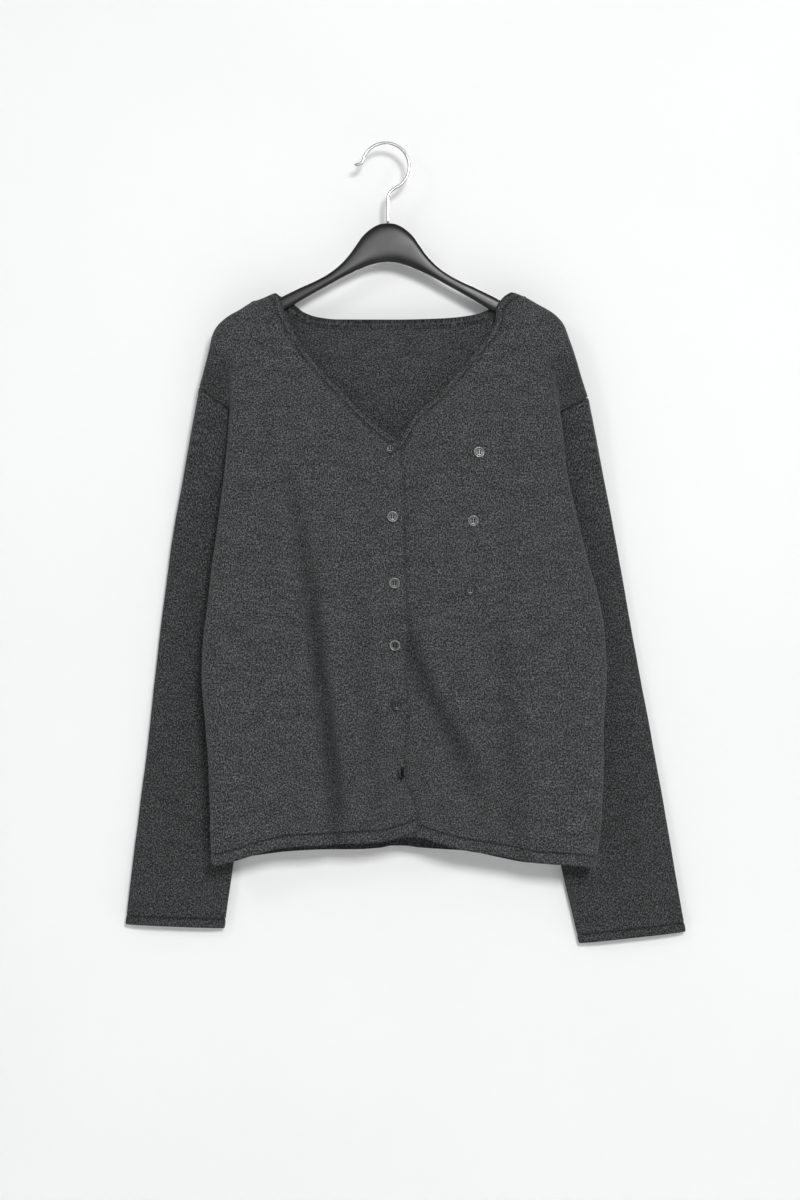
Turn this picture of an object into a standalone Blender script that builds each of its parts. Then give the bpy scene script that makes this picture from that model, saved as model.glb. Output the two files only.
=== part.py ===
"""Button cardigan on its hanger.

A fine-knit, V-necked, long-sleeved cardigan with dropped shoulders, buttoned
up the front, hanging on a moulded hanger with a bent-wire hook.  Every sewn
piece is a wall of cloth of its own; the neck, the hem, the cuffs and the
armholes are open.

Frame: the origin is the point under the top of the hook that rests on the
rod.  +Z is up, the garment's front faces -Y, and the wearer's right side is
at -X.  All sizes below are in millimetres and are turned into metres when
the meshes are made.  "Out" means the distance from the middle plane X = 0,
positive on both sides of the body.
"""

import math

import bmesh
import bpy
import numpy as np

for old in list(bpy.data.objects):
    bpy.data.objects.remove(old, do_unlink=True)

# ----------------------------------------------------------------- sizes
MM = 0.001
CLOTH = 1.6  # wall of the knitted cloth
SLEEVE_HEAD = 1.1  # and at the sleeve's head
SEAM = 0.2  # each piece stops this far short of a seam line
BAND = 9.0  # width of the neck band
BAND_LIFT = 0.4  # the doubled band stands this proud of the panel
BAND_WALL = 2.0
OVERLAP = 26.0  # the under front runs this far beyond the top front's edge
UNDER = 3.4  # and lies this far behind it

ROUND_OVER = 9.0  # depth over which the cloth turns over the hanger's arm
BACK_FLAT = 8.0  # where the back hangs
HEM_LEVEL = -740.0
HEM_FADE = 110.0  # the hem's wave dies out this far above it

WIRE = 3.2
HOOK_RADIUS = 24.9  # to the middle of the wire
HOOK_CENTRE = (-2.3, -23.3)
HANGER_HALF = 4.6  # half the thickness of the hanger's body
HANGER_EDGE = 2.0
HANGER_CHAMFER = 3.2

BUTTON = 11.4
BUTTON_THICK = 2.4

# The body's outline from the neck point over the shoulder and down the
# dropped shoulder to the armhole: height, out on the right, out on the left.
OUTLINE = [
    (-157.0, 120.0, 134.5),
    (-162.2, 130.8, 146.0),
    (-168.6, 146.6, 157.7),
    (-175.0, 157.2, 169.8),
    (-181.3, 168.5, 178.4),
    (-190.8, 179.4, 186.2),
    (-197.1, 183.6, 188.9),
    (-206.6, 186.8, 192.3),
    (-212.0, 187.8, 194.4),
    (-228.0, 192.1, 199.9),
    (-244.0, 196.5, 204.8),
    (-256.0, 200.0, 208.8),
    (-268.0, 203.0, 212.8),
]
TIP = {"right": (-255.0, 200.0), "left": (-266.5, 212.2)}
CROSS = {"right": (-279.5, 168.4), "left": (-282.5, 182.6)}

# The edge of the full front as it rolls forward of the sleeve, and the end
# of the front panel behind that edge (armhole above -390, side seam below):
# height, fold right, end right, fold left, end left.
SIDES = [
    (-207.0, 170.8, 186.8, 175.7, 192.5),
    (-222.0, 168.3, 190.6, 174.6, 197.9),
    (-241.0, 167.2, 195.7, 175.2, 203.9),
    (-280.0, 166.8, 168.4, 181.2, 184.0),
    (-300.0, 167.6, 160.0, 183.4, 177.0),
    (-340.0, 170.8, 158.0, 187.5, 175.5),
    (-390.0, 176.5, 158.0, 197.6, 175.5),
    (-418.0, 180.3, 166.0, 204.4, 187.0),
    (-449.0, 185.0, 177.0, 212.4, 202.0),
    (-486.0, 188.9, 184.2, 222.4, 216.5),
    (-520.0, 193.3, 189.0, 227.4, 223.0),
    (-556.0, 194.5, 190.4, 229.2, 225.0),
    (-616.0, 189.8, 185.8, 226.1, 222.0),
    (-648.0, 187.6, 183.6, 225.4, 221.2),
    (-696.0, 185.5, 181.3, 223.2, 219.0),
    (-730.0, 184.3, 180.0, 218.4, 214.0),
    (-765.0, 178.6, 174.8, 212.0, 208.0),
]

# Depths (Y) down the body: the chest, the dropped shoulder beside the chest's
# fold, the line where front and back meet, the front panel's hidden end.
DEPTHS = [
    (-150.0, -8.2, -8.2, 0.0, 0.0),
    (-200.0, -8.8, -8.4, 0.2, 0.2),
    (-212.0, -9.4, -7.4, 1.2, 1.2),
    (-228.0, -10.8, -5.0, 4.0, 4.0),
    (-255.0, -13.8, -1.6, 8.0, 8.0),
    (-282.0, -16.2, 0.6, 9.5, 2.2),
    (-313.0, -18.6, 2.0, 9.5, 3.0),
    (-350.0, -21.6, 3.0, 9.0, 3.6),
    (-392.0, -24.8, 3.0, 6.4, 4.2),
    (-418.0, -26.2, 2.0, 2.6, 2.2),
    (-450.0, -27.6, 0.0, -2.6, -2.8),
    (-500.0, -29.2, 0.0, -5.4, -5.6),
    (-600.0, -31.4, 0.0, -6.6, -6.8),
    (-770.0, -33.0, 0.0, -7.0, -7.2),
]

# The back panel's armhole edge: height, out right, out left, depth.
ARMHOLE_BACK = [
    (-254.0, 199.8, 208.2, 8.4),
    (-268.0, 190.5, 205.6, 12.6),
    (-284.0, 180.5, 194.8, 14.6),
    (-320.0, 166.5, 181.5, 15.6),
    (-356.0, 160.0, 176.5, 15.2),
    (-386.0, 158.5, 175.8, 12.0),
    (-402.0, 160.5, 179.5, 7.4),
    (-418.0, 166.0, 187.0, 3.0),
]

# The V neck's edge: height, edge of the right front, edge of the left front.
V_EDGE = [
    (-150.0, -126.0, 138.0),
    (-157.2, -119.0, 130.2),
    (-160.5, -114.6, 124.0),
    (-165.0, -112.0, 119.4),
    (-173.0, -109.6, 114.4),
    (-186.3, -103.6, 113.2),
    (-197.8, -97.3, 107.6),
    (-206.2, -92.0, 101.1),
    (-226.0, -78.6, 84.5),
    (-245.0, -61.2, 68.7),
    (-265.0, -42.8, 50.2),
    (-287.0, -20.8, 26.8),
    (-308.0, 5.0, 13.6),
    (-312.3, 11.3, 10.9),
    (-327.0, 30.0, 0.0),
    (-346.0, 50.0, -14.6),
]

# The top front's edge below the V: height, X.
FRONT_EDGE = [
    (-312.3, 12.0),
    (-366.0, 17.0),
    (-397.0, 18.2),
    (-437.0, 18.8),
    (-474.0, 20.3),
    (-506.0, 22.1),
    (-538.0, 19.2),
    (-567.0, 20.2),
    (-603.0, 22.4),
    (-646.0, 18.7),
    (-673.0, 19.2),
    (-690.0, 24.8),
    (-706.0, 29.2),
    (-724.0, 32.6),
    (-745.0, 31.0),
]

# The hems: X, height at the right front, the left front and the back.
HEMS = [
    (-195.0, -752.0, -729.0, -752.0),
    (-180.0, -758.5, -729.0, -756.0),
    (-162.0, -754.3, -729.0, -755.0),
    (-133.0, -745.9, -729.0, -751.0),
    (-104.0, -739.4, -729.0, -747.5),
    (-71.0, -737.5, -729.0, -745.5),
    (-35.0, -735.4, -729.0, -745.5),
    (-9.0, -734.4, -729.0, -744.0),
    (5.0, -731.2, -729.0, -741.5),
    (18.0, -727.0, -729.0, -741.5),
    (31.0, -722.8, -729.1, -743.0),
    (54.0, -722.0, -735.4, -745.0),
    (82.0, -722.0, -742.8, -747.0),
    (121.0, -722.0, -749.1, -754.5),
    (151.0, -722.0, -755.4, -759.5),
    (192.0, -722.0, -758.5, -761.0),
    (216.0, -722.0, -760.8, -761.5),
]

# The back neck's edge: X, height.
NECK_BACK = [
    (-127.0, -150.0),
    (-119.0, -157.0),
    (-108.6, -162.6),
    (-99.5, -168.8),
    (-88.9, -177.1),
    (-74.0, -182.2),
    (-54.0, -184.5),
    (7.6, -184.7),
    (58.5, -183.4),
    (89.2, -180.0),
    (107.8, -173.4),
    (118.4, -165.8),
    (130.2, -157.0),
    (139.0, -150.0),
]

# Soft troughs in the cloth, a row for each station of a fold:
# panel, fold, height, X, half width, depth.
FOLDS = [
    ("right", "main", -325.0, -110.0, 16.0, 0.0),
    ("right", "main", -365.0, -101.5, 14.0, 2.6),
    ("right", "main", -449.0, -83.7, 13.0, 5.6),
    ("right", "main", -545.0, -72.0, 12.0, 8.6),
    ("right", "main", -644.0, -59.5, 13.0, 8.8),
    ("right", "main", -707.0, -53.0, 16.0, 5.0),
    ("right", "main", -760.0, -52.0, 18.0, 3.4),
    ("right", "outer", -420.0, -150.0, 18.0, 0.0),
    ("right", "outer", -520.0, -150.0, 20.0, 2.6),
    ("right", "outer", -640.0, -136.0, 20.0, 3.4),
    ("right", "outer", -760.0, -128.0, 20.0, 2.4),
    ("right", "placket", -440.0, -30.0, 10.0, 0.0),
    ("right", "placket", -520.0, -24.0, 11.0, 2.2),
    ("right", "placket", -640.0, -15.0, 11.0, 2.6),
    ("right", "placket", -745.0, -8.0, 12.0, 1.0),
    ("left", "diagonal", -500.0, 22.0, 14.0, 0.0),
    ("left", "diagonal", -531.0, 26.0, 14.0, 3.0),
    ("left", "diagonal", -575.0, 44.4, 15.0, 5.6),
    ("left", "diagonal", -618.0, 68.6, 16.0, 5.6),
    ("left", "diagonal", -661.0, 88.0, 18.0, 3.2),
    ("left", "diagonal", -705.0, 104.0, 20.0, 0.6),
    ("left", "outer", -480.0, 118.0, 16.0, 0.0),
    ("left", "outer", -545.0, 123.0, 16.0, 3.0),
    ("left", "outer", -650.0, 130.0, 18.0, 4.2),
    ("left", "outer", -760.0, 138.0, 20.0, 3.0),
    ("left", "side", -330.0, 168.0, 12.0, 0.0),
    ("left", "side", -400.0, 184.0, 10.0, 1.6),
    ("left", "side", -480.0, 196.0, 12.0, 1.4),
    ("left", "side", -560.0, 200.0, 14.0, 0.0),
    ("back", "right", -330.0, -104.0, 18.0, 0.0),
    ("back", "right", -470.0, -96.0, 17.0, 2.6),
    ("back", "right", -620.0, -84.0, 18.0, 4.6),
    ("back", "right", -770.0, -80.0, 20.0, 3.2),
    ("back", "middle", -300.0, 6.0, 22.0, 0.0),
    ("back", "middle", -480.0, 12.0, 20.0, 2.2),
    ("back", "middle", -650.0, 26.0, 18.0, 3.8),
    ("back", "middle", -770.0, 32.0, 20.0, 3.0),
    ("back", "left", -360.0, 120.0, 18.0, 0.0),
    ("back", "left", -520.0, 128.0, 18.0, 3.0),
    ("back", "left", -680.0, 134.0, 18.0, 4.4),
    ("back", "left", -770.0, 136.0, 20.0, 3.4),
]

# The sleeves' flattened sections: height, outer edge, inner edge (both out),
# middle depth, half thickness, drop of the inner edge per mm of width.
SLEEVES = {
    "right": [
        (-432.0, 231.2, 138.0, 20.0, 6.6, 0.05),
        (-470.0, 236.8, 134.6, 21.4, 7.0, 0.05),
        (-503.0, 241.4, 134.4, 22.4, 7.2, 0.05),
        (-567.0, 248.3, 139.5, 23.0, 7.2, 0.05),
        (-631.0, 255.2, 147.0, 23.0, 7.2, 0.05),
        (-695.0, 263.8, 155.5, 23.0, 7.0, 0.05),
        (-763.0, 272.1, 165.1, 23.0, 6.8, 0.04),
        (-829.0, 279.7, 174.4, 23.0, 6.6, 0.04),
    ],
    "left": [
        (-432.0, 244.6, 152.0, 20.0, 6.6, 0.06),
        (-470.0, 251.5, 146.6, 21.4, 7.0, 0.07),
        (-503.0, 257.1, 146.6, 22.4, 7.2, 0.08),
        (-567.0, 268.8, 152.6, 23.0, 7.2, 0.09),
        (-631.0, 280.5, 161.1, 23.0, 7.2, 0.10),
        (-695.0, 292.3, 171.8, 23.0, 7.0, 0.10),
        (-763.0, 304.0, 185.6, 23.0, 6.8, 0.11),
        (-841.0, 317.4, 204.0, 23.0, 6.6, 0.11),
    ],
}

# The hanger's body, the same on both sides: out, top, bottom.
HANGER = [
    (0.0, -83.0, -124.2),
    (7.0, -83.9, -124.8),
    (13.0, -86.2, -126.0),
    (20.0, -90.8, -128.0),
    (27.0, -97.5, -130.8),
    (33.0, -106.0, -133.4),
    (39.0, -114.6, -136.2),
    (48.0, -125.0, -140.6),
    (60.0, -135.0, -147.2),
    (76.0, -144.2, -156.0),
    (92.0, -151.4, -165.2),
    (108.0, -159.2, -174.6),
    (124.0, -167.4, -182.4),
    (140.0, -174.8, -190.0),
    (154.0, -182.6, -197.4),
    (165.0, -190.0, -203.6),
    (173.0, -198.2, -208.6),
    (178.0, -206.0, -211.6),
]

# The fastening buttons down the front, then the decorative ones on the
# wearer's left chest: name, X, height, turn about the vertical in degrees.
BUTTONS = [
    ("button_1", 2.9, -322.2, 0.0),
    ("button_2", 5.0, -394.2, 4.0),
    ("button_3", 7.1, -463.5, 4.0),
    ("button_4", 7.7, -528.6, -4.0),
    ("button_5", 9.2, -590.5, 6.0),
    ("button_6", 14.0, -660.9, 58.0),
    ("button_deco_1", 95.9, -326.4, 4.0),
    ("button_deco_2", 89.6, -398.4, 2.0),
    ("button_deco_3", 86.4, -470.8, 2.0),
]


# ---------------------------------------------------------- curves in tables
def track(rows, column, station=0):
    """A smooth curve through one column of a table, with no overshoot."""
    rows = sorted(rows, key=lambda r: r[station])
    x = np.array([r[station] for r in rows], float)
    y = np.array([r[column] for r in rows], float)
    h = np.diff(x)
    d = np.diff(y) / h
    m = np.zeros(len(x))
    m[0], m[-1] = d[0], d[-1]
    for i in range(1, len(x) - 1):
        if d[i - 1] * d[i] > 0:
            w1, w2 = 2 * h[i] + h[i - 1], h[i] + 2 * h[i - 1]
            m[i] = (w1 + w2) / (w1 / d[i - 1] + w2 / d[i])

    def f(t):
        t = min(max(float(t), x[0]), x[-1])
        i = min(max(int(np.searchsorted(x, t)) - 1, 0), len(h) - 1)
        s = (t - x[i]) / h[i]
        return (
            (1 + 2 * s) * (1 - s) ** 2 * y[i]
            + s * (1 - s) ** 2 * h[i] * m[i]
            + s * s * (3 - 2 * s) * y[i + 1]
            + s * s * (s - 1) * h[i] * m[i + 1]
        )

    return f


def ease(a, b, t):
    """0 at a, 1 at b, smooth between."""
    s = min(max((t - a) / (b - a), 0.0), 1.0)
    return s * s * (3 - 2 * s)


def mix(a, b, t):
    return a + (b - a) * t


def spline(points, t):
    """A point on a smooth curve through the given points, t from 0 to 1."""
    n = len(points) - 1
    i = min(int(t * n), n - 1)
    s = t * n - i
    p = [points[min(max(i + k, 0), n)] for k in (-1, 0, 1, 2)]
    return tuple(
        0.5
        * (
            2 * b
            + (c - a) * s
            + (2 * a - 5 * b + 4 * c - d) * s * s
            + (3 * b - a - 3 * c + d) * s**3
        )
        for a, b, c, d in zip(*p, strict=True)
    )


SIGN = {"right": -1.0, "left": 1.0}
outline = {"right": track(OUTLINE, 1), "left": track(OUTLINE, 2)}
fold_edge = {"right": track(SIDES, 1), "left": track(SIDES, 3)}
panel_end = {"right": track(SIDES, 2), "left": track(SIDES, 4)}
chest_y, drop_y, meet_y, end_y = (track(DEPTHS, k) for k in (1, 2, 3, 4))
back_end = {"right": track(ARMHOLE_BACK, 1), "left": track(ARMHOLE_BACK, 2)}
back_end_y = track(ARMHOLE_BACK, 3)
v_edge = {"right": track(V_EDGE, 1), "left": track(V_EDGE, 2)}
front_edge = track(FRONT_EDGE, 1)
hem_of = {"right": track(HEMS, 1), "left": track(HEMS, 2), "back": track(HEMS, 3)}
neck_back = track(NECK_BACK, 1)

fold_curves = {}
for panel, name, *_ in FOLDS:
    rows = [r[2:] for r in FOLDS if r[0] == panel and r[1] == name]
    fold_curves[(panel, name)] = (
        rows[0][0],
        rows[-1][0],
        track(rows, 1),
        track(rows, 2),
        track(rows, 3),
    )


def relief(panel, x, z):
    """How far the folds press the cloth of a panel inwards at a place."""
    total = 0.0
    for (where, _), (_, low, at, width, depth) in fold_curves.items():
        if where == panel:
            total += depth(z) * math.exp(-(((x - at(z)) / width(z)) ** 2))
    return total


# The whole outline as a line of points, for distances from it; it runs on
# down the sleeve's outer edge.
def outline_points(side):
    top = [(outline[side](z), z) for z in np.linspace(-157.0, TIP[side][0], 60)]
    rows = SLEEVES[side]
    return np.array(top + [(r[1], r[0]) for r in rows[:3]])


OUTLINE_LINE = {side: outline_points(side) for side in SIGN}


def inside(side, out, z):
    """The distance of a place from the outline."""
    line = OUTLINE_LINE[side]
    a, b = line[:-1], line[1:]
    p = np.array([out, z])
    d = b - a
    t = np.clip(((p - a) * d).sum(1) / (d * d).sum(1), 0, 1)
    return float(np.linalg.norm(p - a - t[:, None] * d, axis=1).min())


def turned(distance, over=ROUND_OVER):
    """0 at the outline and 1 where the cloth has turned over it."""
    t = 1 - min(distance / over, 1.0)
    return math.sqrt(max(1 - t * t, 0.0))


# ------------------------------------------------------------ the two fronts
def row_end(side, z):
    """How far out a row of the front panel runs."""
    tip_z, tip = TIP[side]
    cross_z, cross = CROSS[side]
    if z >= tip_z:
        return outline[side](z)
    if z >= cross_z:
        return mix(tip, cross, (tip_z - z) / (tip_z - cross_z))
    return mix(cross, panel_end[side](z), ease(cross_z, cross_z - 10, z))


def under(side, x, z):
    """How far the left front drops back to pass under the right one."""
    if side == "right" or z > -296:
        return 0.0
    past = x - front_edge(z)
    return UNDER * ease(-296, -312, z) * (1 - 0.8 * ease(3.0, 24.0, past))


def chest(side, out, z):
    """The front's outer surface before it turns back at its side."""
    x = SIGN[side] * out
    return chest_y(z) + relief(side, x, z) + under(side, x, z)


def front_plain(side, out, z):
    """The front's surface as a depth at a place, from the neck to the tip."""
    f, m = fold_edge[side](z), meet_y(z)
    tucked = ease(-200, -240, z)
    y = mix(chest(side, out, z), drop_y(z), tucked * ease(f - 4.5, f + 2.0, out))
    return m + (y - m) * turned(inside(side, out, z))


def beside(line, offset, sign):
    """A line parallel to a line of places (X, height), to its right or left."""
    d = np.gradient(line, axis=0)
    d /= np.linalg.norm(d, axis=1, keepdims=True)
    return line + offset * sign * np.stack([d[:, 1], -d[:, 0]], axis=1)


V_LINE = {
    side: np.array([(v_edge[side](z), z) for z in np.linspace(-150.0, -346.0, 160)])
    for side in SIGN
}
BAND_INSIDE = {side: beside(V_LINE[side], BAND, -SIGN[side]) for side in SIGN}
PANEL_TOP = {side: beside(V_LINE[side], BAND + 0.3, -SIGN[side]) for side in SIGN}


def row_start(side, z):
    """The X where a row of the front panel begins, at its edge or band."""
    edge = front_edge(z) - (OVERLAP if side == "left" else 0.0)
    line = PANEL_TOP[side]
    if z > line[-1, 1]:
        at = float(np.interp(-z, -line[:, 1], line[:, 0]))
        return min(edge, at) if side == "right" else max(edge, at)
    return edge


CHEST_SHARE = 0.62


def front_point(side, s, level):
    """A point of a front's outer surface: s from its edge to its side."""
    z = level
    start = SIGN[side] * row_start(side, z)
    end = row_end(side, z)
    f = min(fold_edge[side](z), start + 0.72 * max(end - start, 0.1))
    if z < -240:
        f = fold_edge[side](z)
    roll = min(14.0, 0.25 * max(end - start, 0.1))
    if s <= CHEST_SHARE:
        out = mix(start, f - roll, s / CHEST_SHARE)
        y = front_plain(side, out, z) if z > -240 else chest(side, out, z)
    else:
        t = (s - CHEST_SHARE) / (1 - CHEST_SHARE)
        shown = ease(-294, -276, z)
        c = chest(side, f - roll, z)
        b = drop_y(z)
        e = end_y(z)
        # over the step and across the dropped shoulder
        over = [
            (f - roll, c),
            (f - 0.34 * roll, mix(c, b, 0.10)),
            (f - 0.04 * roll, mix(c, b, 0.52)),
            (mix(f, end, 0.10), mix(c, b, 0.94)),
            (mix(f, end, 0.34), b),
            (mix(f, end, 0.62), b),
            (mix(f, end, 0.86), b),
            (end, b),
        ]
        # round the roll and back behind it
        behind = [
            (f - roll, c),
            (f - 0.34 * roll, c + 1.1),
            (f, c + 6.0),
            (f - 0.8, c + 10.5),
            (mix(f, end, 0.42), mix(c + 10.5, e, 0.30)),
            (mix(f, end, 0.66), mix(c + 10.5, e, 0.56)),
            (mix(f, end, 0.86), mix(c + 10.5, e, 0.80)),
            (end, e),
        ]
        pts = [
            (mix(q[0], p[0], shown), mix(q[1], p[1], shown))
            for p, q in zip(over, behind, strict=True)
        ]
        out, y = spline(pts, t)
        if z > -292:
            m = meet_y(z)
            rounded = m + (y - m) * turned(inside(side, out, z))
            y = mix(y, rounded, ease(-290, -278, z))
            if z > -240:
                plain = front_plain(side, out, z)
                y = mix(y, plain, ease(-240, -205, z))
    x = SIGN[side] * out
    drop = ease(HEM_LEVEL + HEM_FADE, HEM_LEVEL, level)
    z = level + (hem_of[side](x) - HEM_LEVEL) * drop
    return (x, y, z)


# ------------------------------------------------------------------ the back
def back_plain(x, z):
    """The back's outer surface as a depth at a place."""
    side = "right" if x < 0 else "left"
    out = abs(x)
    y = BACK_FLAT - relief("back", x, z)
    if z > -420:
        full = back_end_y(z) if z < -254 else mix(BACK_FLAT, 12.6, ease(-205, -254, z))
        edge = back_end[side](z) if z < -254 else outline[side](z)
        gain = ease(edge - 46, edge - 6, out) * max(full - BACK_FLAT, 0.0)
        y += gain
    if z > -292:
        m = meet_y(max(z, -256))
        y = mix(y, m + (y - m) * turned(inside(side, out, z)), ease(-290, -276, z))
    return y


BACK_LENS = -232.0  # above this the rows open out to the shoulders and neck
BACK_TOP_END = -199.0


NECK_LINE = np.array([(x, neck_back(x)) for x in np.linspace(-127.0, 139.0, 200)])
BACK_BAND_INSIDE = beside(NECK_LINE, BAND, 1.0)
BACK_TOP = beside(NECK_LINE, BAND + 0.3, 1.0)


def shoulder(x):
    """The height of the shoulder line."""
    column = 1 if x < 0 else 2
    return track([(r[column], r[0]) for r in OUTLINE], 1)(abs(x))


def back_top(x):
    """The back's upper edge: the shoulder line, and the neck band's inside."""
    if BACK_TOP[0, 0] < x < BACK_TOP[-1, 0]:
        return min(shoulder(x), float(np.interp(x, BACK_TOP[:, 0], BACK_TOP[:, 1])))
    return shoulder(x)


def corner(line):
    """Where a neck line, followed from its upper end, meets the shoulder."""
    for x, z in line:
        if z < shoulder(x):
            return float(x)
    return float(line[-1, 0])


BACK_CORNERS = (corner(BACK_TOP), corner(BACK_TOP[::-1]))


def back_point(u, level):
    """A point of the back's outer surface: u from right to left, 0 to 1."""
    if level > BACK_LENS:
        r = (level - BACK_LENS) / -BACK_LENS  # 0 at the lens's foot, 1 at level 0
        end_z = mix(BACK_LENS, BACK_TOP_END, r)
        a, b = outline["right"](end_z), outline["left"](end_z)
        x = mix(-a, b, u)
        z = mix(BACK_LENS, back_top(x), r)
        return (x, back_plain(x, z), z)
    z = level
    ends = {}
    for side in SIGN:
        if z >= -254:
            ends[side] = outline[side](z)
        elif z >= -418:
            ends[side] = back_end[side](z)
        else:
            ends[side] = row_end(side, z)
    x = mix(-ends["right"], ends["left"], u)
    y = back_plain(x, z)
    rolled = ease(-386, -430, z)
    if rolled > 0:
        side = "right" if x < 0 else "left"
        depth = ends[side] - abs(x)
        seam = meet_y(z) if z < -418 else back_end_y(z)
        y = mix(y, seam + (y - seam) * turned(depth, 20.0), rolled)
    drop = ease(HEM_LEVEL + HEM_FADE, HEM_LEVEL, level)
    return (x, y, level + (hem_of["back"](x) - HEM_LEVEL) * drop)


# --------------------------------------------------------------- the sleeves
# The armhole seam's stations, sixteen round the hole from the tip down the
# front to the underarm and up the back: height on the right and on the left.
SEAM_STATIONS = [
    (0, -255.0, -266.5),
    (1, -262.0, -271.0),
    (2, -270.5, -276.5),
    (3, -279.5, -282.5),
    (4, -290.0, -290.0),
    (5, -306.0, -306.0),
    (6, -334.0, -334.0),
    (7, -363.0, -363.0),
    (8, -378.0, -378.0),
    (9, -366.0, -366.0),
    (10, -344.0, -344.0),
    (11, -320.0, -320.0),
    (12, -302.0, -302.0),
    (13, -284.0, -288.0),
    (14, -270.0, -279.0),
    (15, -262.0, -272.0),
    (16, -255.0, -266.5),
]
seam_height = {"right": track(SEAM_STATIONS, 1), "left": track(SEAM_STATIONS, 2)}
UNDERARM = {"right": (166.4, 15.6), "left": (184.4, 15.6)}


def armhole(side, turn):
    """The sleeve's upper edge: turn 0 at the tip, 0.5 at the underarm."""
    z = seam_height[side](turn * 16)
    if turn <= 0.5:
        x, y, _ = front_point(side, 1.0, max(z, -386))
        out, low = abs(x) + 0.3, 0.35
        y += 1.8 * ease(-281, -302, z)
        out += 1.0 * ease(-281, -302, z)
    else:
        if z > TIP[side][0]:
            out, y = outline[side](z), meet_y(z)
        else:
            out, y = back_end[side](max(z, -386)), back_end_y(max(z, -386))
        y = mix(y, meet_y(z), ease(0.97, 1.0, turn))
        out, low = out + 0.6 + 3.6 * ease(-284, -330, z), 0.35
        y += 1.4 * ease(-320, -366, z)
    # front and back draw together round the underarm
    near = ease(0.43, 0.5, turn) * ease(0.57, 0.5, turn)
    out, y = mix(out, UNDERARM[side][0], near), mix(y, UNDERARM[side][1], near)
    return np.array([out, y, z - low])


def sleeve_section(side, turn, z):
    """A point of a flattened section of the sleeve."""
    rows = SLEEVES[side]
    outer, inner, mid, half, slant = (track(rows, k)(z) for k in (1, 2, 3, 4, 5))
    a, c = (outer - inner) / 2, (outer + inner) / 2
    angle = 2 * math.pi * turn
    across = math.cos(angle)
    thick = (1 - abs(across) ** 2.6) ** 0.5
    y = mid - math.copysign(half * thick, math.sin(angle))
    out = c + a * across
    return np.array([out, y, z + slant * a * across])


SLEEVE_TOP = -432.0


def sleeve_point(side, turn, v):
    """v from 0 to 1 is the head of the sleeve, from 1 to 2 is below it."""
    low = SLEEVES[side][-1][0]
    if v <= 1:
        a = armhole(side, turn)
        b = sleeve_section(side, turn, SLEEVE_TOP)
        after = sleeve_section(side, turn, SLEEVE_TOP - 20)
        reach = np.linalg.norm(b - a)
        t1 = (after - b) / np.linalg.norm(after - b) * reach
        t0 = (b - a) * 0.9
        # the underarm swings back first, then in behind the back panel
        near = ease(0.28, 0.375, turn) * ease(0.72, 0.6, turn)
        t0 += np.array([60.0, 20.0, 0.0]) * near
        p = (
            (2 * v**3 - 3 * v * v + 1) * a
            + (v**3 - 2 * v * v + v) * t0
            + (3 * v * v - 2 * v**3) * b
            + (v**3 - v * v) * t1
        )
    else:
        z = mix(SLEEVE_TOP, low, v - 1)
        p = sleeve_section(side, turn, z)
    return (SIGN[side] * p[0], p[1], p[2])


# -------------------------------------------------------------- making solids
def material(name, colour, rough, metal=0.0):
    m = bpy.data.materials.new(name)
    m.use_nodes = True
    b = m.node_tree.nodes["Principled BSDF"]
    b.inputs["Base Color"].default_value = (*colour, 1.0)
    b.inputs["Roughness"].default_value = rough
    b.inputs["Metallic"].default_value = metal
    return m


KNIT = material("charcoal_knit", (0.050, 0.052, 0.054), 0.95)
RIB = material("charcoal_band", (0.046, 0.048, 0.050), 0.95)
RESIN = material("smoked_resin", (0.040, 0.038, 0.036), 0.18)
MOULDED = material("black_plastic", (0.030, 0.030, 0.032), 0.35)
CHROME = material("chromed_wire", (0.75, 0.75, 0.76), 0.15, 1.0)


def solid(name, points, faces, mat, smooth=False):
    """A closed mesh object from points in millimetres, its faces outward."""
    bm = bmesh.new()
    verts = [bm.verts.new([c * MM for c in p]) for p in points]
    for f in faces:
        bm.faces.new([verts[i] for i in f])
    bmesh.ops.recalc_face_normals(bm, faces=bm.faces)
    me = bpy.data.meshes.new(name)
    bm.to_mesh(me)
    bm.free()
    me.materials.append(mat)
    if smooth:
        me.shade_smooth()
    ob = bpy.data.objects.new(name, me)
    bpy.context.scene.collection.objects.link(ob)
    return ob


def sampled(surface, rows, columns, row_step, column_step):
    """Points of a surface and its normals: surface takes (column, row)."""
    points, directions = [], []
    for r in rows:
        line, facing = [], []
        for c in columns:
            c0, c1 = max(c - column_step, 0.0), min(c + column_step, 1.0)
            across = np.subtract(surface(c1, r), surface(c0, r))
            r0, r1 = r - row_step, min(r + row_step, max(rows[-1], r))
            along = np.subtract(surface(c, r1), surface(c, r0))
            n = np.cross(across, along)
            line.append(surface(c, r))
            facing.append(n / max(np.linalg.norm(n), 1e-9))
        points.append(line)
        directions.append(facing)
    return np.array(points, float), np.array(directions, float)


def normals(grid, closed):
    """Unit normals of a grid of points; closed joins its second axis."""
    if closed:
        across = np.roll(grid, -1, 1) - np.roll(grid, 1, 1)
    else:
        across = np.gradient(grid, axis=1)
    along = np.gradient(grid, axis=0)
    n = np.cross(across, along)
    return n / np.maximum(np.linalg.norm(n, axis=2, keepdims=True), 1e-9)


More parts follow.
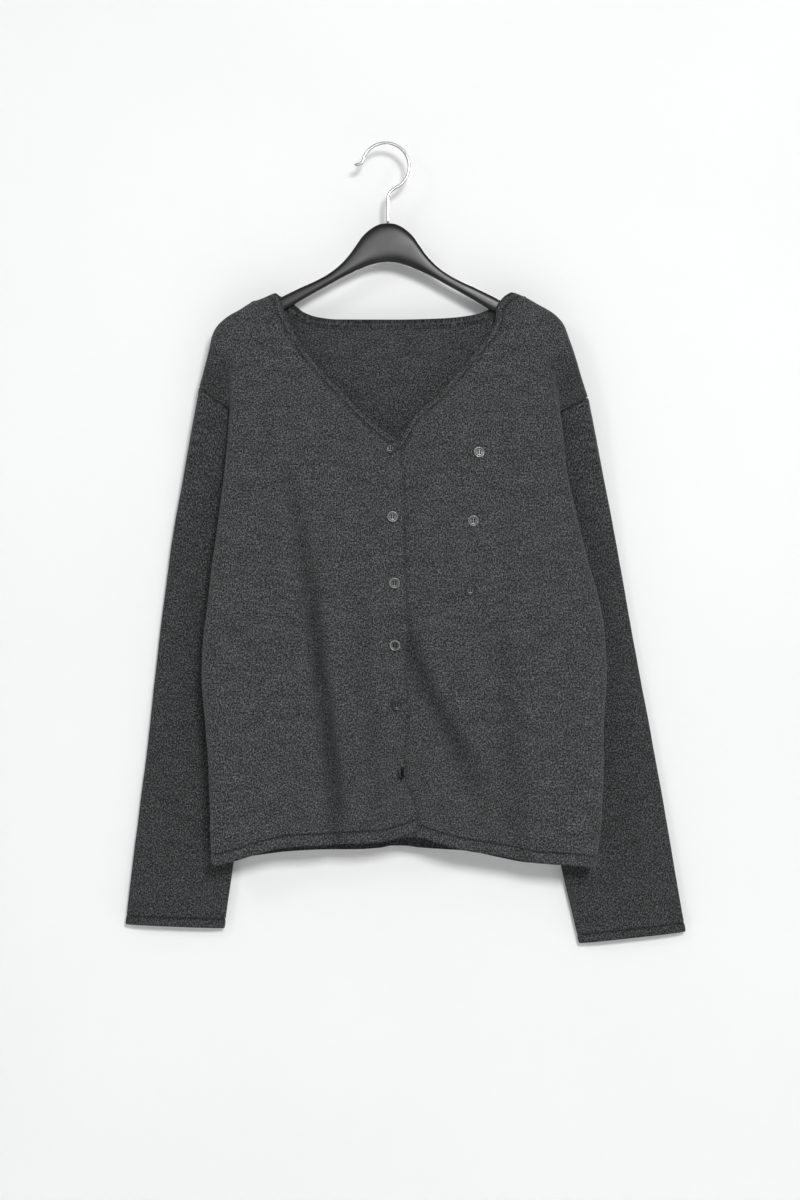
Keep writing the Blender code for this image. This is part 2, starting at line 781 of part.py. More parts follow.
def wall(name, grid, inward, mat, thick=CLOTH, closed=False, clamp=None, facing=None):
    """A wall of cloth under a grid of outer points.

    inward is +1 or -1 so that the wall lies on the hollow's side.  clamp
    keeps the inner points from passing a seam.
    """
    grid = np.array(grid, float)
    facing = normals(grid, closed) if facing is None else facing
    soft = facing.copy()
    soft[1:-1] += 0.5 * (facing[:-2] + facing[2:])
    soft[:, 1:-1] += 0.5 * (facing[:, :-2] + facing[:, 2:])
    facing = soft / np.linalg.norm(soft, axis=2, keepdims=True)
    inner = grid + inward * thick * facing
    if clamp:
        for i in range(grid.shape[0]):
            for j in range(grid.shape[1]):
                grid[i, j] = clamp(grid[i, j], grid[i, j])
                inner[i, j] = clamp(inner[i, j], grid[i, j])
    rows, cols = grid.shape[:2]
    n = rows * cols
    points = np.concatenate([grid.reshape(-1, 3), inner.reshape(-1, 3)])

    def at(i, j, layer):
        return layer * n + i * cols + j % cols

    faces = []
    last = cols if closed else cols - 1
    for i in range(rows - 1):
        for j in range(last):
            faces.append([at(i, j, 0), at(i, j + 1, 0), at(i + 1, j + 1, 0), at(i + 1, j, 0)])
            faces.append([at(i, j, 1), at(i + 1, j, 1), at(i + 1, j + 1, 1), at(i, j + 1, 1)])
    for j in range(last):
        for i in (0, rows - 1):
            faces.append([at(i, j, 0), at(i, j + 1, 0), at(i, j + 1, 1), at(i, j, 1)])
    if not closed:
        for i in range(rows - 1):
            for j in (0, cols - 1):
                faces.append([at(i, j, 0), at(i + 1, j, 0), at(i + 1, j, 1), at(i, j, 1)])
    return solid(name, points, faces, mat)


def seam_limit(outer):
    """The depth where front and back meet, near the body's outline."""
    side = "right" if outer[0] < 0 else "left"
    z = outer[2]
    if z < -418:
        return meet_y(z)
    if z > -300 and inside(side, abs(outer[0]), z) < 7:
        return meet_y(z)
    return None


def before_seam(p, outer):
    """Keeps a front's point in front of the line where it meets the back."""
    limit = seam_limit(outer)
    return p if limit is None else np.array([p[0], min(p[1], limit - SEAM), p[2]])


def behind_seam(p, outer):
    """Keeps a back's point behind that line."""
    limit = seam_limit(outer)
    if limit is None or outer[2] < -418 and abs(outer[0]) < 120:
        return p
    return np.array([p[0], max(p[1], limit + SEAM), p[2]])


FRONT_LEVELS = [
    -740, -724, -695, -655, -615, -575, -540, -508, -478, -450, -426, -406, -390,
    -372, -357.2, -343, -326.2, -316.5, -306, -290,
]
SEAM_LEVELS = {
    "right": [-279.5, -270.5, -262.0, -255.0],
    "left": [-282.5, -276.5, -271.0, -266.5, -256.0],
}
SHOULDER_LEVELS = [-244, -230, -216, -205, -195, -186, -178, -171, -165.5]
TOP_LEVEL = {"right": -161.9, "left": -161.2}
FRONT_COLUMNS = [
    0, 0.07, 0.14, 0.21, 0.28, 0.35, 0.42, 0.49, 0.56, 0.62,
    0.67, 0.715, 0.76, 0.81, 0.87, 0.93, 0.975, 1.0,
]


def levels_of(side):
    low = [z for z in FRONT_LEVELS]
    return low + SEAM_LEVELS[side] + SHOULDER_LEVELS + [TOP_LEVEL[side]]


for side in SIGN:
    grid, facing = sampled(
        lambda s, z, side=side: front_point(side, s, z),
        levels_of(side),
        FRONT_COLUMNS,
        1.2,
        0.012,
    )
    inward = 1.0 if side == "right" else -1.0
    wall(f"front_{side}", grid, inward, KNIT, clamp=before_seam, facing=facing)

BACK_LEVELS = [
    -740, -720, -680, -630, -580, -530, -490, -455, -432, -418, -402, -386, -368,
    -344, -320, -302, -284, -270, -262, -254, -244, -232, -180, -130, -80, -38, 0,
]
top_a, top_b = (outline[side](BACK_TOP_END) for side in ("right", "left"))
at_corner = [(x + top_a) / (top_a + top_b) for x in BACK_CORNERS]
BACK_COLUMNS = [
    0, 0.012, 0.03, 0.06, 0.105, at_corner[0], at_corner[0] + 0.014,
    at_corner[0] + 0.036, 0.235, 0.29, 0.36, 0.43, 0.50, 0.57, 0.64, 0.71, 0.77,
    at_corner[1] - 0.036, at_corner[1] - 0.014, at_corner[1],
    0.91, 0.945, 0.972, 0.988, 1.0,
]
grid, facing = sampled(back_point, BACK_LEVELS, BACK_COLUMNS, 1.2, 0.006)
wall("back", grid, 1.0, KNIT, clamp=behind_seam, facing=facing)

TURNS = [k / 16 for k in range(16)]
STATIONS = [0.0, 0.2, 0.45, 0.72, 1.0, 1.14, 1.3, 1.48, 1.66, 1.84, 2.0]
for side in SIGN:
    grid = [[sleeve_point(side, t, v) for t in TURNS] for v in STATIONS]
    # the cloth is pressed thinner where it is gathered in behind the body
    thick = np.array([mix(SLEEVE_HEAD, CLOTH, ease(0.0, 0.72, v)) for v in STATIONS])
    inward = 1.0 if side == "right" else -1.0
    wall(f"sleeve_{side}", grid, inward, KNIT, thick[:, None, None], closed=True)


# -------------------------------------------------------------- the neck band
def band_place(side, x, z):
    """A place on the front, on the band's raised surface."""
    out = SIGN[side] * x
    y = front_plain(side, out, z) if z > -240 else chest(side, out, z)
    return (x, y - BAND_LIFT, z)


def across_band(edge, line, k):
    """Three places across the band, from its edge to its inside line."""
    return [edge[k] + (line[k] - edge[k]) * t for t in (0.0, 0.5, 1.0)]


def front_band(side):
    """Stations up the V, level with the rows of the panel beside it."""
    edge, line = V_LINE[side], BAND_INSIDE[side]
    low = -325.5 if side == "right" else -356.5
    # the lower end is cut along the front's own edge
    foot = front_edge(low) - (OVERLAP if side == "left" else 0.0)
    tip = (11.0, -312.3) if side == "right" else (foot, -343.0)
    ends = np.array([tip, (foot, low)])
    rows = [[ends[0] + (ends[1] - ends[0]) * t for t in (0.0, 0.5, 1.0)]]
    for z in levels_of(side):
        k = int(np.argmin(abs(line[:, 1] - z)))
        x, height = edge[k]
        if z > low + 4 and tip[1] + 2.5 < height < shoulder(x) - 1.5:
            rows.append(across_band(edge, line, k))
    # the upper end is cut along the shoulder line
    top = []
    for t in (0.0, 0.5, 1.0):
        path = edge + (line - edge) * t
        k = next(i for i, (x, z) in enumerate(path) if z < shoulder(x))
        top.append(path[k])
    rows.append(top)
    return [[band_place(side, x, z) for x, z in row] for row in rows]


for side in SIGN:
    inward = 1.0 if side == "right" else -1.0
    wall(f"neck_band_{side}", front_band(side), inward, RIB, BAND_WALL, clamp=before_seam)


def back_band():
    """Stations along the back neck, level with the columns of the back."""
    rows = []
    xs = [mix(-top_a, top_b, u) for u in BACK_COLUMNS]
    xs = [x for x in xs if BACK_CORNERS[0] + 1 < x < BACK_CORNERS[1] - 1]
    for x in xs:
        k = int(np.argmin(abs(BACK_BAND_INSIDE[:, 0] - x)))
        rows.append(across_band(NECK_LINE, BACK_BAND_INSIDE, k))
    ends = []
    for step in (1, -1):
        end = []
        for t in (0.0, 0.5, 1.0):
            path = (NECK_LINE + (BACK_BAND_INSIDE - NECK_LINE) * t)[::step]
            end.append(next(p for p in path if p[1] < shoulder(p[0])))
        ends.append(end)
    rows = [row for row in rows if all(z < shoulder(x) - 1.2 for x, z in row)]
    rows = [ends[0], *rows, ends[1]]
    return [[(x, back_plain(x, z) + BAND_LIFT, z) for x, z in row] for row in rows]


wall("neck_band_back", back_band(), 1.0, RIB, BAND_WALL, clamp=behind_seam)


# ----------------------------------------------------------------- the buttons
def button_mesh():
    """A four-holed button with a raised rim, lying in the XZ plane."""
    r, t = BUTTON / 2, BUTTON_THICK
    profile = [
        (0.0, -0.62 * t),
        (0.58 * r, -0.62 * t),
        (0.72 * r, -0.95 * t),
        (0.88 * r, -1.0 * t),
        (1.0 * r, -0.72 * t),
        (0.98 * r, -0.38 * t),
        (0.70 * r, 0.0),
        (0.0, 0.0),
    ]
    steps = 14
    points = [(0.0, profile[0][1], 0.0)]
    for rad, y in profile[1:-1]:
        for k in range(steps):
            a = 2 * math.pi * k / steps
            points.append((rad * math.cos(a), y, rad * math.sin(a)))
    points.append((0.0, profile[-1][1], 0.0))
    faces = []
    rings = len(profile) - 2
    for k in range(steps):
        j = (k + 1) % steps
        faces.append([0, 1 + k, 1 + j])
        for i in range(rings - 1):
            a, b = 1 + i * steps, 1 + (i + 1) * steps
            faces.append([a + k, b + k, b + j, a + j])
        a = 1 + (rings - 1) * steps
        faces.append([a + k, len(points) - 1, a + j])
    body = solid("button_blank", points, faces, RESIN)
    for sx in (-1, 1):
        for sz in (-1, 1):
            bpy.ops.mesh.primitive_cylinder_add(
                vertices=5,
                radius=0.85 * MM,
                depth=8 * MM,
                location=(sx * 1.35 * MM, 0, sz * 1.35 * MM),
                rotation=(math.pi / 2, 0, 0),
            )
            cutter = bpy.context.active_object
            mod = body.modifiers.new("hole", "BOOLEAN")
            mod.object = cutter
            mod.operation = "DIFFERENCE"
            mod.solver = "EXACT"
            cutter.hide_render = True
            cutter.display_type = "WIRE"
    bpy.context.view_layer.update()
    done = bpy.data.meshes.new_from_object(
        body.evaluated_get(bpy.context.evaluated_depsgraph_get())
    )
    for ob in list(bpy.data.objects):
        if ob.display_type == "WIRE":
            bpy.data.objects.remove(ob, do_unlink=True)
    bpy.data.objects.remove(body, do_unlink=True)
    return done


blank = button_mesh()
for name, x, z, turn in BUTTONS:
    side = "left" if "deco" in name else "right"
    out = SIGN[side] * x
    step = 4.0
    y = min(
        chest(side, out + i * step, z + j * step) for i in (-1, 0, 1) for j in (-1, 0, 1)
    )
    lean = math.atan2(
        chest(side, out, z + step) - chest(side, out, z - step), 2 * step
    )
    a = math.radians(turn)
    stand = 0.7 + abs(math.sin(a)) * BUTTON / 2
    ob = bpy.data.objects.new(name, blank.copy())
    bpy.context.scene.collection.objects.link(ob)
    if z > -330:
        stand += 0.6
    ob.location = (x * MM, (y - stand) * MM, z * MM)
    ob.rotation_euler = (-lean * 0.5, 0.0, a)


# ------------------------------------------------------------------ the hanger
def hanger_body():
    top, bottom = track(HANGER, 1), track(HANGER, 2)
    outs = [r[0] for r in HANGER]
    xs = [-o for o in reversed(outs[1:])] + outs
    points, faces = [], []
    for x in xs:
        o = abs(x)
        t, b = top(o), bottom(o)
        c = min(HANGER_CHAMFER, (t - b) * 0.3)
        h, e = HANGER_HALF, HANGER_EDGE
        if o > 170:
            h, e = mix(h, 3.4, (o - 170) / 8), mix(e, 1.6, (o - 170) / 8)
        points += [
            (x, -e, t), (x, e, t), (x, h, t - c), (x, h, b + c),
            (x, e, b), (x, -e, b), (x, -h, b + c), (x, -h, t - c),
        ]
    n = len(xs)
    for i in range(n - 1):
        for k in range(8):
            j = (k + 1) % 8
            faces.append([i * 8 + k, i * 8 + j, i * 8 + 8 + j, i * 8 + 8 + k])
    faces.append(list(range(8)))
    faces.append([(n - 1) * 8 + k for k in range(8)])
    return solid("hanger_body", points, faces, MOULDED)


hanger_body()


def hook():
    """The bent wire: stem, bend, three quarters of a ring and a turned tip."""
    cx, cz = HOOK_CENTRE
    path = [(0.0, -82.6), (0.0, -70.0), (0.0, -60.0), (0.2, -55.5), (2.2, -50.6), (6.6, -46.8)]
    for deg in range(-55, 166, 13):
        a = math.radians(deg)
        path.append((cx + HOOK_RADIUS * math.cos(a), cz + HOOK_RADIUS * math.sin(a)))
    path += [(-26.9, -18.8), (-30.2, -20.8), (-35.2, -21.4)]
    sides = 10
    p = np.array(path)
    d = np.gradient(p, axis=0)
    d /= np.linalg.norm(d, axis=1, keepdims=True)
    points, faces = [], []
    for (x, z), (dx, dz) in zip(p, d, strict=True):
        for k in range(sides):
            a = 2 * math.pi * k / sides
            r = WIRE / 2
            points.append((x - dz * r * math.cos(a), r * math.sin(a), z + dx * r * math.cos(a)))
    n = len(path)
    for i in range(n - 1):
        for k in range(sides):
            j = (k + 1) % sides
            a, b = i * sides, (i + 1) * sides
            faces.append([a + k, a + j, b + j, b + k])
    faces.append(list(range(sides)))
    faces.append([(n - 1) * sides + k for k in range(sides)])
    return solid("hanger_hook", points, faces, CHROME)


hook()
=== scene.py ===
"""Button cardigan on its hanger: the looks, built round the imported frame.

The sizes and tables below give the garment's form in millimetres, in the
frame of the CAD part.  Every panel is a thin shell on that form, made finer,
with its creases, hems, stitches and bands worked in.
"""

import math

import bpy
import numpy as np
from mathutils import Matrix, Vector
from mathutils.bvhtree import BVHTree


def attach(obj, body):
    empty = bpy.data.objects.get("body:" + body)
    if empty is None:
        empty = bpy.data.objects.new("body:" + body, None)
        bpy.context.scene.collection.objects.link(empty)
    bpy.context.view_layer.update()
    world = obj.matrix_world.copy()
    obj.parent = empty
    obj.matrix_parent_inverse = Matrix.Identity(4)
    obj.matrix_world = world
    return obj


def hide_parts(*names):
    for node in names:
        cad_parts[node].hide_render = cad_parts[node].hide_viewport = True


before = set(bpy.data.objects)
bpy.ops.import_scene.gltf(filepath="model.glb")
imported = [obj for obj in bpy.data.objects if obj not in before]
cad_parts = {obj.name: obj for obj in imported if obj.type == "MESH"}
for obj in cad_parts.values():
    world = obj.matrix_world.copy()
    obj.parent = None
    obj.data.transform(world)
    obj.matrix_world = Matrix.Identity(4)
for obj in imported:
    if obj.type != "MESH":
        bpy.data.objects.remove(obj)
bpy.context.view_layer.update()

# ----------------------------------------------------------------- sizes
MM = 0.001
CLOTH = 1.6  # wall of the knitted cloth
SLEEVE_HEAD = 1.1  # and at the sleeve's head
SEAM = 0.2  # each piece stops this far short of a seam line
BAND = 9.0  # width of the neck band
BAND_LIFT = 0.4  # the doubled band stands this proud of the panel
BAND_WALL = 2.0
OVERLAP = 26.0  # the under front runs this far beyond the top front's edge
UNDER = 3.4  # and lies this far behind it

ROUND_OVER = 9.0  # depth over which the cloth turns over the hanger's arm
BACK_FLAT = 8.0  # where the back hangs
HEM_LEVEL = -740.0
HEM_FADE = 110.0  # the hem's wave dies out this far above it

WIRE = 3.2
HOOK_RADIUS = 24.9  # to the middle of the wire
HOOK_CENTRE = (-2.3, -23.3)
HANGER_HALF = 4.6  # half the thickness of the hanger's body
HANGER_EDGE = 2.0
HANGER_CHAMFER = 3.2

BUTTON = 11.4
BUTTON_THICK = 2.4

# The body's outline from the neck point over the shoulder and down the
# dropped shoulder to the armhole: height, out on the right, out on the left.
OUTLINE = [
    (-157.0, 120.0, 134.5),
    (-162.2, 130.8, 146.0),
    (-168.6, 146.6, 157.7),
    (-175.0, 157.2, 169.8),
    (-181.3, 168.5, 178.4),
    (-190.8, 179.4, 186.2),
    (-197.1, 183.6, 188.9),
    (-206.6, 186.8, 192.3),
    (-212.0, 187.8, 194.4),
    (-228.0, 192.1, 199.9),
    (-244.0, 196.5, 204.8),
    (-256.0, 200.0, 208.8),
    (-268.0, 203.0, 212.8),
]
TIP = {"right": (-255.0, 200.0), "left": (-266.5, 212.2)}
CROSS = {"right": (-279.5, 168.4), "left": (-282.5, 182.6)}

# The edge of the full front as it rolls forward of the sleeve, and the end
# of the front panel behind that edge (armhole above -390, side seam below):
# height, fold right, end right, fold left, end left.
SIDES = [
    (-207.0, 170.8, 186.8, 175.7, 192.5),
    (-222.0, 168.3, 190.6, 174.6, 197.9),
    (-241.0, 167.2, 195.7, 175.2, 203.9),
    (-280.0, 166.8, 168.4, 181.2, 184.0),
    (-300.0, 167.6, 160.0, 183.4, 177.0),
    (-340.0, 170.8, 158.0, 187.5, 175.5),
    (-390.0, 176.5, 158.0, 197.6, 175.5),
    (-418.0, 180.3, 166.0, 204.4, 187.0),
    (-449.0, 185.0, 177.0, 212.4, 202.0),
    (-486.0, 188.9, 184.2, 222.4, 216.5),
    (-520.0, 193.3, 189.0, 227.4, 223.0),
    (-556.0, 194.5, 190.4, 229.2, 225.0),
    (-616.0, 189.8, 185.8, 226.1, 222.0),
    (-648.0, 187.6, 183.6, 225.4, 221.2),
    (-696.0, 185.5, 181.3, 223.2, 219.0),
    (-730.0, 184.3, 180.0, 218.4, 214.0),
    (-765.0, 178.6, 174.8, 212.0, 208.0),
]

# Depths (Y) down the body: the chest, the dropped shoulder beside the chest's
# fold, the line where front and back meet, the front panel's hidden end.
DEPTHS = [
    (-150.0, -8.2, -8.2, 0.0, 0.0),
    (-200.0, -8.8, -8.4, 0.2, 0.2),
    (-212.0, -9.4, -7.4, 1.2, 1.2),
    (-228.0, -10.8, -5.0, 4.0, 4.0),
    (-255.0, -13.8, -1.6, 8.0, 8.0),
    (-282.0, -16.2, 0.6, 9.5, 2.2),
    (-313.0, -18.6, 2.0, 9.5, 3.0),
    (-350.0, -21.6, 3.0, 9.0, 3.6),
    (-392.0, -24.8, 3.0, 6.4, 4.2),
    (-418.0, -26.2, 2.0, 2.6, 2.2),
    (-450.0, -27.6, 0.0, -2.6, -2.8),
    (-500.0, -29.2, 0.0, -5.4, -5.6),
    (-600.0, -31.4, 0.0, -6.6, -6.8),
    (-770.0, -33.0, 0.0, -7.0, -7.2),
]

# The back panel's armhole edge: height, out right, out left, depth.
ARMHOLE_BACK = [
    (-254.0, 199.8, 208.2, 8.4),
    (-268.0, 190.5, 205.6, 12.6),
    (-284.0, 180.5, 194.8, 14.6),
    (-320.0, 166.5, 181.5, 15.6),
    (-356.0, 160.0, 176.5, 15.2),
    (-386.0, 158.5, 175.8, 12.0),
    (-402.0, 160.5, 179.5, 7.4),
    (-418.0, 166.0, 187.0, 3.0),
]

# The V neck's edge: height, edge of the right front, edge of the left front.
V_EDGE = [
    (-150.0, -126.0, 138.0),
    (-157.2, -119.0, 130.2),
    (-160.5, -114.6, 124.0),
    (-165.0, -112.0, 119.4),
    (-173.0, -109.6, 114.4),
    (-186.3, -103.6, 113.2),
    (-197.8, -97.3, 107.6),
    (-206.2, -92.0, 101.1),
    (-226.0, -78.6, 84.5),
    (-245.0, -61.2, 68.7),
    (-265.0, -42.8, 50.2),
    (-287.0, -20.8, 26.8),
    (-308.0, 5.0, 13.6),
    (-312.3, 11.3, 10.9),
    (-327.0, 30.0, 0.0),
    (-346.0, 50.0, -14.6),
]

# The top front's edge below the V: height, X.
FRONT_EDGE = [
    (-312.3, 12.0),
    (-366.0, 17.0),
    (-397.0, 18.2),
    (-437.0, 18.8),
    (-474.0, 20.3),
    (-506.0, 22.1),
    (-538.0, 19.2),
    (-567.0, 20.2),
    (-603.0, 22.4),
    (-646.0, 18.7),
    (-673.0, 19.2),
    (-690.0, 24.8),
    (-706.0, 29.2),
    (-724.0, 32.6),
    (-745.0, 31.0),
]

# The hems: X, height at the right front, the left front and the back.
HEMS = [
    (-195.0, -752.0, -729.0, -752.0),
    (-180.0, -758.5, -729.0, -756.0),
    (-162.0, -754.3, -729.0, -755.0),
    (-133.0, -745.9, -729.0, -751.0),
    (-104.0, -739.4, -729.0, -747.5),
    (-71.0, -737.5, -729.0, -745.5),
    (-35.0, -735.4, -729.0, -745.5),
    (-9.0, -734.4, -729.0, -744.0),
    (5.0, -731.2, -729.0, -741.5),
    (18.0, -727.0, -729.0, -741.5),
    (31.0, -722.8, -729.1, -743.0),
    (54.0, -722.0, -735.4, -745.0),
    (82.0, -722.0, -742.8, -747.0),
    (121.0, -722.0, -749.1, -754.5),
    (151.0, -722.0, -755.4, -759.5),
    (192.0, -722.0, -758.5, -761.0),
    (216.0, -722.0, -760.8, -761.5),
]

# The back neck's edge: X, height.
NECK_BACK = [
    (-127.0, -150.0),
    (-119.0, -157.0),
    (-108.6, -162.6),
    (-99.5, -168.8),
    (-88.9, -177.1),
    (-74.0, -182.2),
    (-54.0, -184.5),
    (7.6, -184.7),
    (58.5, -183.4),
    (89.2, -180.0),
    (107.8, -173.4),
    (118.4, -165.8),
    (130.2, -157.0),
    (139.0, -150.0),
]

# Soft troughs in the cloth, a row for each station of a fold:
# panel, fold, height, X, half width, depth.
FOLDS = [
    ("right", "main", -325.0, -110.0, 16.0, 0.0),
    ("right", "main", -365.0, -101.5, 14.0, 2.6),
    ("right", "main", -449.0, -83.7, 13.0, 5.6),
    ("right", "main", -545.0, -72.0, 12.0, 8.6),
    ("right", "main", -644.0, -59.5, 13.0, 8.8),
    ("right", "main", -707.0, -53.0, 16.0, 5.0),
    ("right", "main", -760.0, -52.0, 18.0, 3.4),
    ("right", "outer", -420.0, -150.0, 18.0, 0.0),
    ("right", "outer", -520.0, -150.0, 20.0, 2.6),
    ("right", "outer", -640.0, -136.0, 20.0, 3.4),
    ("right", "outer", -760.0, -128.0, 20.0, 2.4),
    ("right", "placket", -440.0, -30.0, 10.0, 0.0),
    ("right", "placket", -520.0, -24.0, 11.0, 2.2),
    ("right", "placket", -640.0, -15.0, 11.0, 2.6),
    ("right", "placket", -745.0, -8.0, 12.0, 1.0),
    ("left", "diagonal", -490.0, 17.0, 9.0, 0.0),
    ("left", "diagonal", -531.0, 24.0, 13.0, 5.6),
    ("left", "diagonal", -575.0, 43.0, 14.0, 7.4),
    ("left", "diagonal", -618.0, 66.0, 15.0, 7.4),
    ("left", "diagonal", -661.0, 86.0, 17.0, 4.6),
    ("left", "diagonal", -705.0, 102.0, 20.0, 0.8),
    ("left", "outer", -480.0, 118.0, 16.0, 0.0),
    ("left", "outer", -545.0, 123.0, 16.0, 3.0),
    ("left", "outer", -650.0, 130.0, 18.0, 4.2),
    ("left", "outer", -760.0, 138.0, 20.0, 3.0),
    ("left", "side", -330.0, 168.0, 12.0, 0.0),
    ("left", "side", -400.0, 184.0, 10.0, 1.6),
    ("left", "side", -480.0, 196.0, 12.0, 1.4),
    ("left", "side", -560.0, 200.0, 14.0, 0.0),
    ("back", "right", -330.0, -104.0, 18.0, 0.0),
    ("back", "right", -470.0, -96.0, 17.0, 2.6),
    ("back", "right", -620.0, -84.0, 18.0, 4.6),
    ("back", "right", -770.0, -80.0, 20.0, 3.2),
    ("back", "middle", -300.0, 6.0, 22.0, 0.0),
    ("back", "middle", -480.0, 12.0, 20.0, 2.2),
    ("back", "middle", -650.0, 26.0, 18.0, 3.8),
    ("back", "middle", -770.0, 32.0, 20.0, 3.0),
    ("back", "left", -360.0, 120.0, 18.0, 0.0),
    ("back", "left", -520.0, 128.0, 18.0, 3.0),
    ("back", "left", -680.0, 134.0, 18.0, 4.4),
    ("back", "left", -770.0, 136.0, 20.0, 3.4),
]

# The sleeves' flattened sections: height, outer edge, inner edge (both out),
# middle depth, half thickness, drop of the inner edge per mm of width.
SLEEVES = {
    "right": [
        (-432.0, 231.2, 138.0, 20.0, 6.6, 0.05),
        (-470.0, 236.8, 134.6, 21.4, 7.0, 0.05),
        (-503.0, 241.4, 134.4, 22.4, 7.2, 0.05),
        (-567.0, 248.3, 139.5, 23.0, 7.2, 0.05),
        (-631.0, 255.2, 147.0, 23.0, 7.2, 0.05),
        (-695.0, 263.8, 155.5, 23.0, 7.0, 0.05),
        (-763.0, 272.1, 165.1, 23.0, 6.8, 0.04),
        (-829.0, 279.7, 174.4, 23.0, 6.6, 0.04),
    ],
    "left": [
        (-432.0, 244.6, 152.0, 20.0, 6.6, 0.06),
        (-470.0, 251.5, 146.6, 21.4, 7.0, 0.07),
        (-503.0, 257.1, 146.6, 22.4, 7.2, 0.08),
        (-567.0, 268.8, 152.6, 23.0, 7.2, 0.09),
        (-631.0, 280.5, 161.1, 23.0, 7.2, 0.10),
        (-695.0, 292.3, 171.8, 23.0, 7.0, 0.10),
        (-763.0, 304.0, 185.6, 23.0, 6.8, 0.11),
        (-841.0, 317.4, 204.0, 23.0, 6.6, 0.11),
    ],
}

# The hanger's body, the same on both sides: out, top, bottom.
HANGER = [
    (0.0, -83.0, -124.2),
    (7.0, -83.9, -124.8),
    (13.0, -86.2, -126.0),
    (20.0, -90.8, -128.0),
    (27.0, -97.5, -130.8),
    (33.0, -106.0, -133.4),
    (39.0, -114.6, -136.2),
    (48.0, -125.0, -140.6),
    (60.0, -135.0, -147.2),
    (76.0, -144.2, -156.0),
    (92.0, -151.4, -165.2),
    (108.0, -159.2, -174.6),
    (124.0, -167.4, -182.4),
    (140.0, -174.8, -190.0),
    (154.0, -182.6, -197.4),
    (165.0, -190.0, -203.6),
    (173.0, -198.2, -208.6),
    (178.0, -206.0, -211.6),
]

# The fastening buttons down the front, then the decorative ones on the
# wearer's left chest: name, X, height, turn about the vertical in degrees.
BUTTONS = [
    ("button_1", 2.9, -322.2, 0.0),
    ("button_2", 5.0, -394.2, 4.0),
    ("button_3", 7.1, -463.5, 4.0),
    ("button_4", 7.7, -528.6, -4.0),
    ("button_5", 9.2, -590.5, 6.0),
    ("button_6", 14.0, -660.9, 58.0),
    ("button_deco_1", 95.9, -326.4, 4.0),
    ("button_deco_2", 89.6, -398.4, 2.0),
    ("button_deco_3", 86.4, -470.8, 2.0),
]


# ---------------------------------------------------------- curves in tables
def track(rows, column, station=0):
    """A smooth curve through one column of a table, with no overshoot."""
    rows = sorted(rows, key=lambda r: r[station])
    x = np.array([r[station] for r in rows], float)
    y = np.array([r[column] for r in rows], float)
    h = np.diff(x)
    d = np.diff(y) / h
    m = np.zeros(len(x))
    m[0], m[-1] = d[0], d[-1]
    for i in range(1, len(x) - 1):
        if d[i - 1] * d[i] > 0:
            w1, w2 = 2 * h[i] + h[i - 1], h[i] + 2 * h[i - 1]
            m[i] = (w1 + w2) / (w1 / d[i - 1] + w2 / d[i])

    def f(t):
        t = min(max(float(t), x[0]), x[-1])
        i = min(max(int(np.searchsorted(x, t)) - 1, 0), len(h) - 1)
        s = (t - x[i]) / h[i]
        return (
            (1 + 2 * s) * (1 - s) ** 2 * y[i]
            + s * (1 - s) ** 2 * h[i] * m[i]
            + s * s * (3 - 2 * s) * y[i + 1]
            + s * s * (s - 1) * h[i] * m[i + 1]
        )

    return f


def ease(a, b, t):
    """0 at a, 1 at b, smooth between."""
    s = min(max((t - a) / (b - a), 0.0), 1.0)
    return s * s * (3 - 2 * s)


def mix(a, b, t):
    return a + (b - a) * t


def spline(points, t):
    """A point on a smooth curve through the given points, t from 0 to 1."""
    n = len(points) - 1
    i = min(int(t * n), n - 1)
    s = t * n - i
    p = [points[min(max(i + k, 0), n)] for k in (-1, 0, 1, 2)]
    return tuple(
        0.5
        * (
            2 * b
            + (c - a) * s
            + (2 * a - 5 * b + 4 * c - d) * s * s
            + (3 * b - a - 3 * c + d) * s**3
        )
        for a, b, c, d in zip(*p, strict=True)
    )


SIGN = {"right": -1.0, "left": 1.0}
outline = {"right": track(OUTLINE, 1), "left": track(OUTLINE, 2)}
fold_edge = {"right": track(SIDES, 1), "left": track(SIDES, 3)}
panel_end = {"right": track(SIDES, 2), "left": track(SIDES, 4)}
chest_y, drop_y, meet_y, end_y = (track(DEPTHS, k) for k in (1, 2, 3, 4))
back_end = {"right": track(ARMHOLE_BACK, 1), "left": track(ARMHOLE_BACK, 2)}
back_end_y = track(ARMHOLE_BACK, 3)
v_edge = {"right": track(V_EDGE, 1), "left": track(V_EDGE, 2)}
front_edge = track(FRONT_EDGE, 1)
hem_of = {"right": track(HEMS, 1), "left": track(HEMS, 2), "back": track(HEMS, 3)}
neck_back = track(NECK_BACK, 1)

fold_curves = {}
for panel, name, *_ in FOLDS:
    rows = [r[2:] for r in FOLDS if r[0] == panel and r[1] == name]
    fold_curves[(panel, name)] = (
        rows[0][0],
        rows[-1][0],
        track(rows, 1),
        track(rows, 2),
        track(rows, 3),
    )


# How much deeper and narrower the looks make the folds that show.
SHARPEN = {
    ("right", "main"): (1.9, 0.62, 0.24),
    ("left", "diagonal"): (1.7, 0.72, 0.20),
    ("right", "placket"): (1.7, 0.72, 0.10),
    ("left", "outer"): (1.2, 0.8, 0.10),
}


def relief(panel, x, z):
    """How far the folds press the cloth of a panel inwards at a place."""
    total = 0.0
    for (where, name), (_, low, at, width, depth) in fold_curves.items():
        if where == panel:
            deeper, narrower, swell = SHARPEN.get((where, name), (1.0, 1.0, 0.0))
            w = width(z) * narrower
            t = ((x - at(z)) / w) ** 2
            total += deeper * depth(z) * (math.exp(-t) - swell * math.exp(-t / 7.0))
    return total


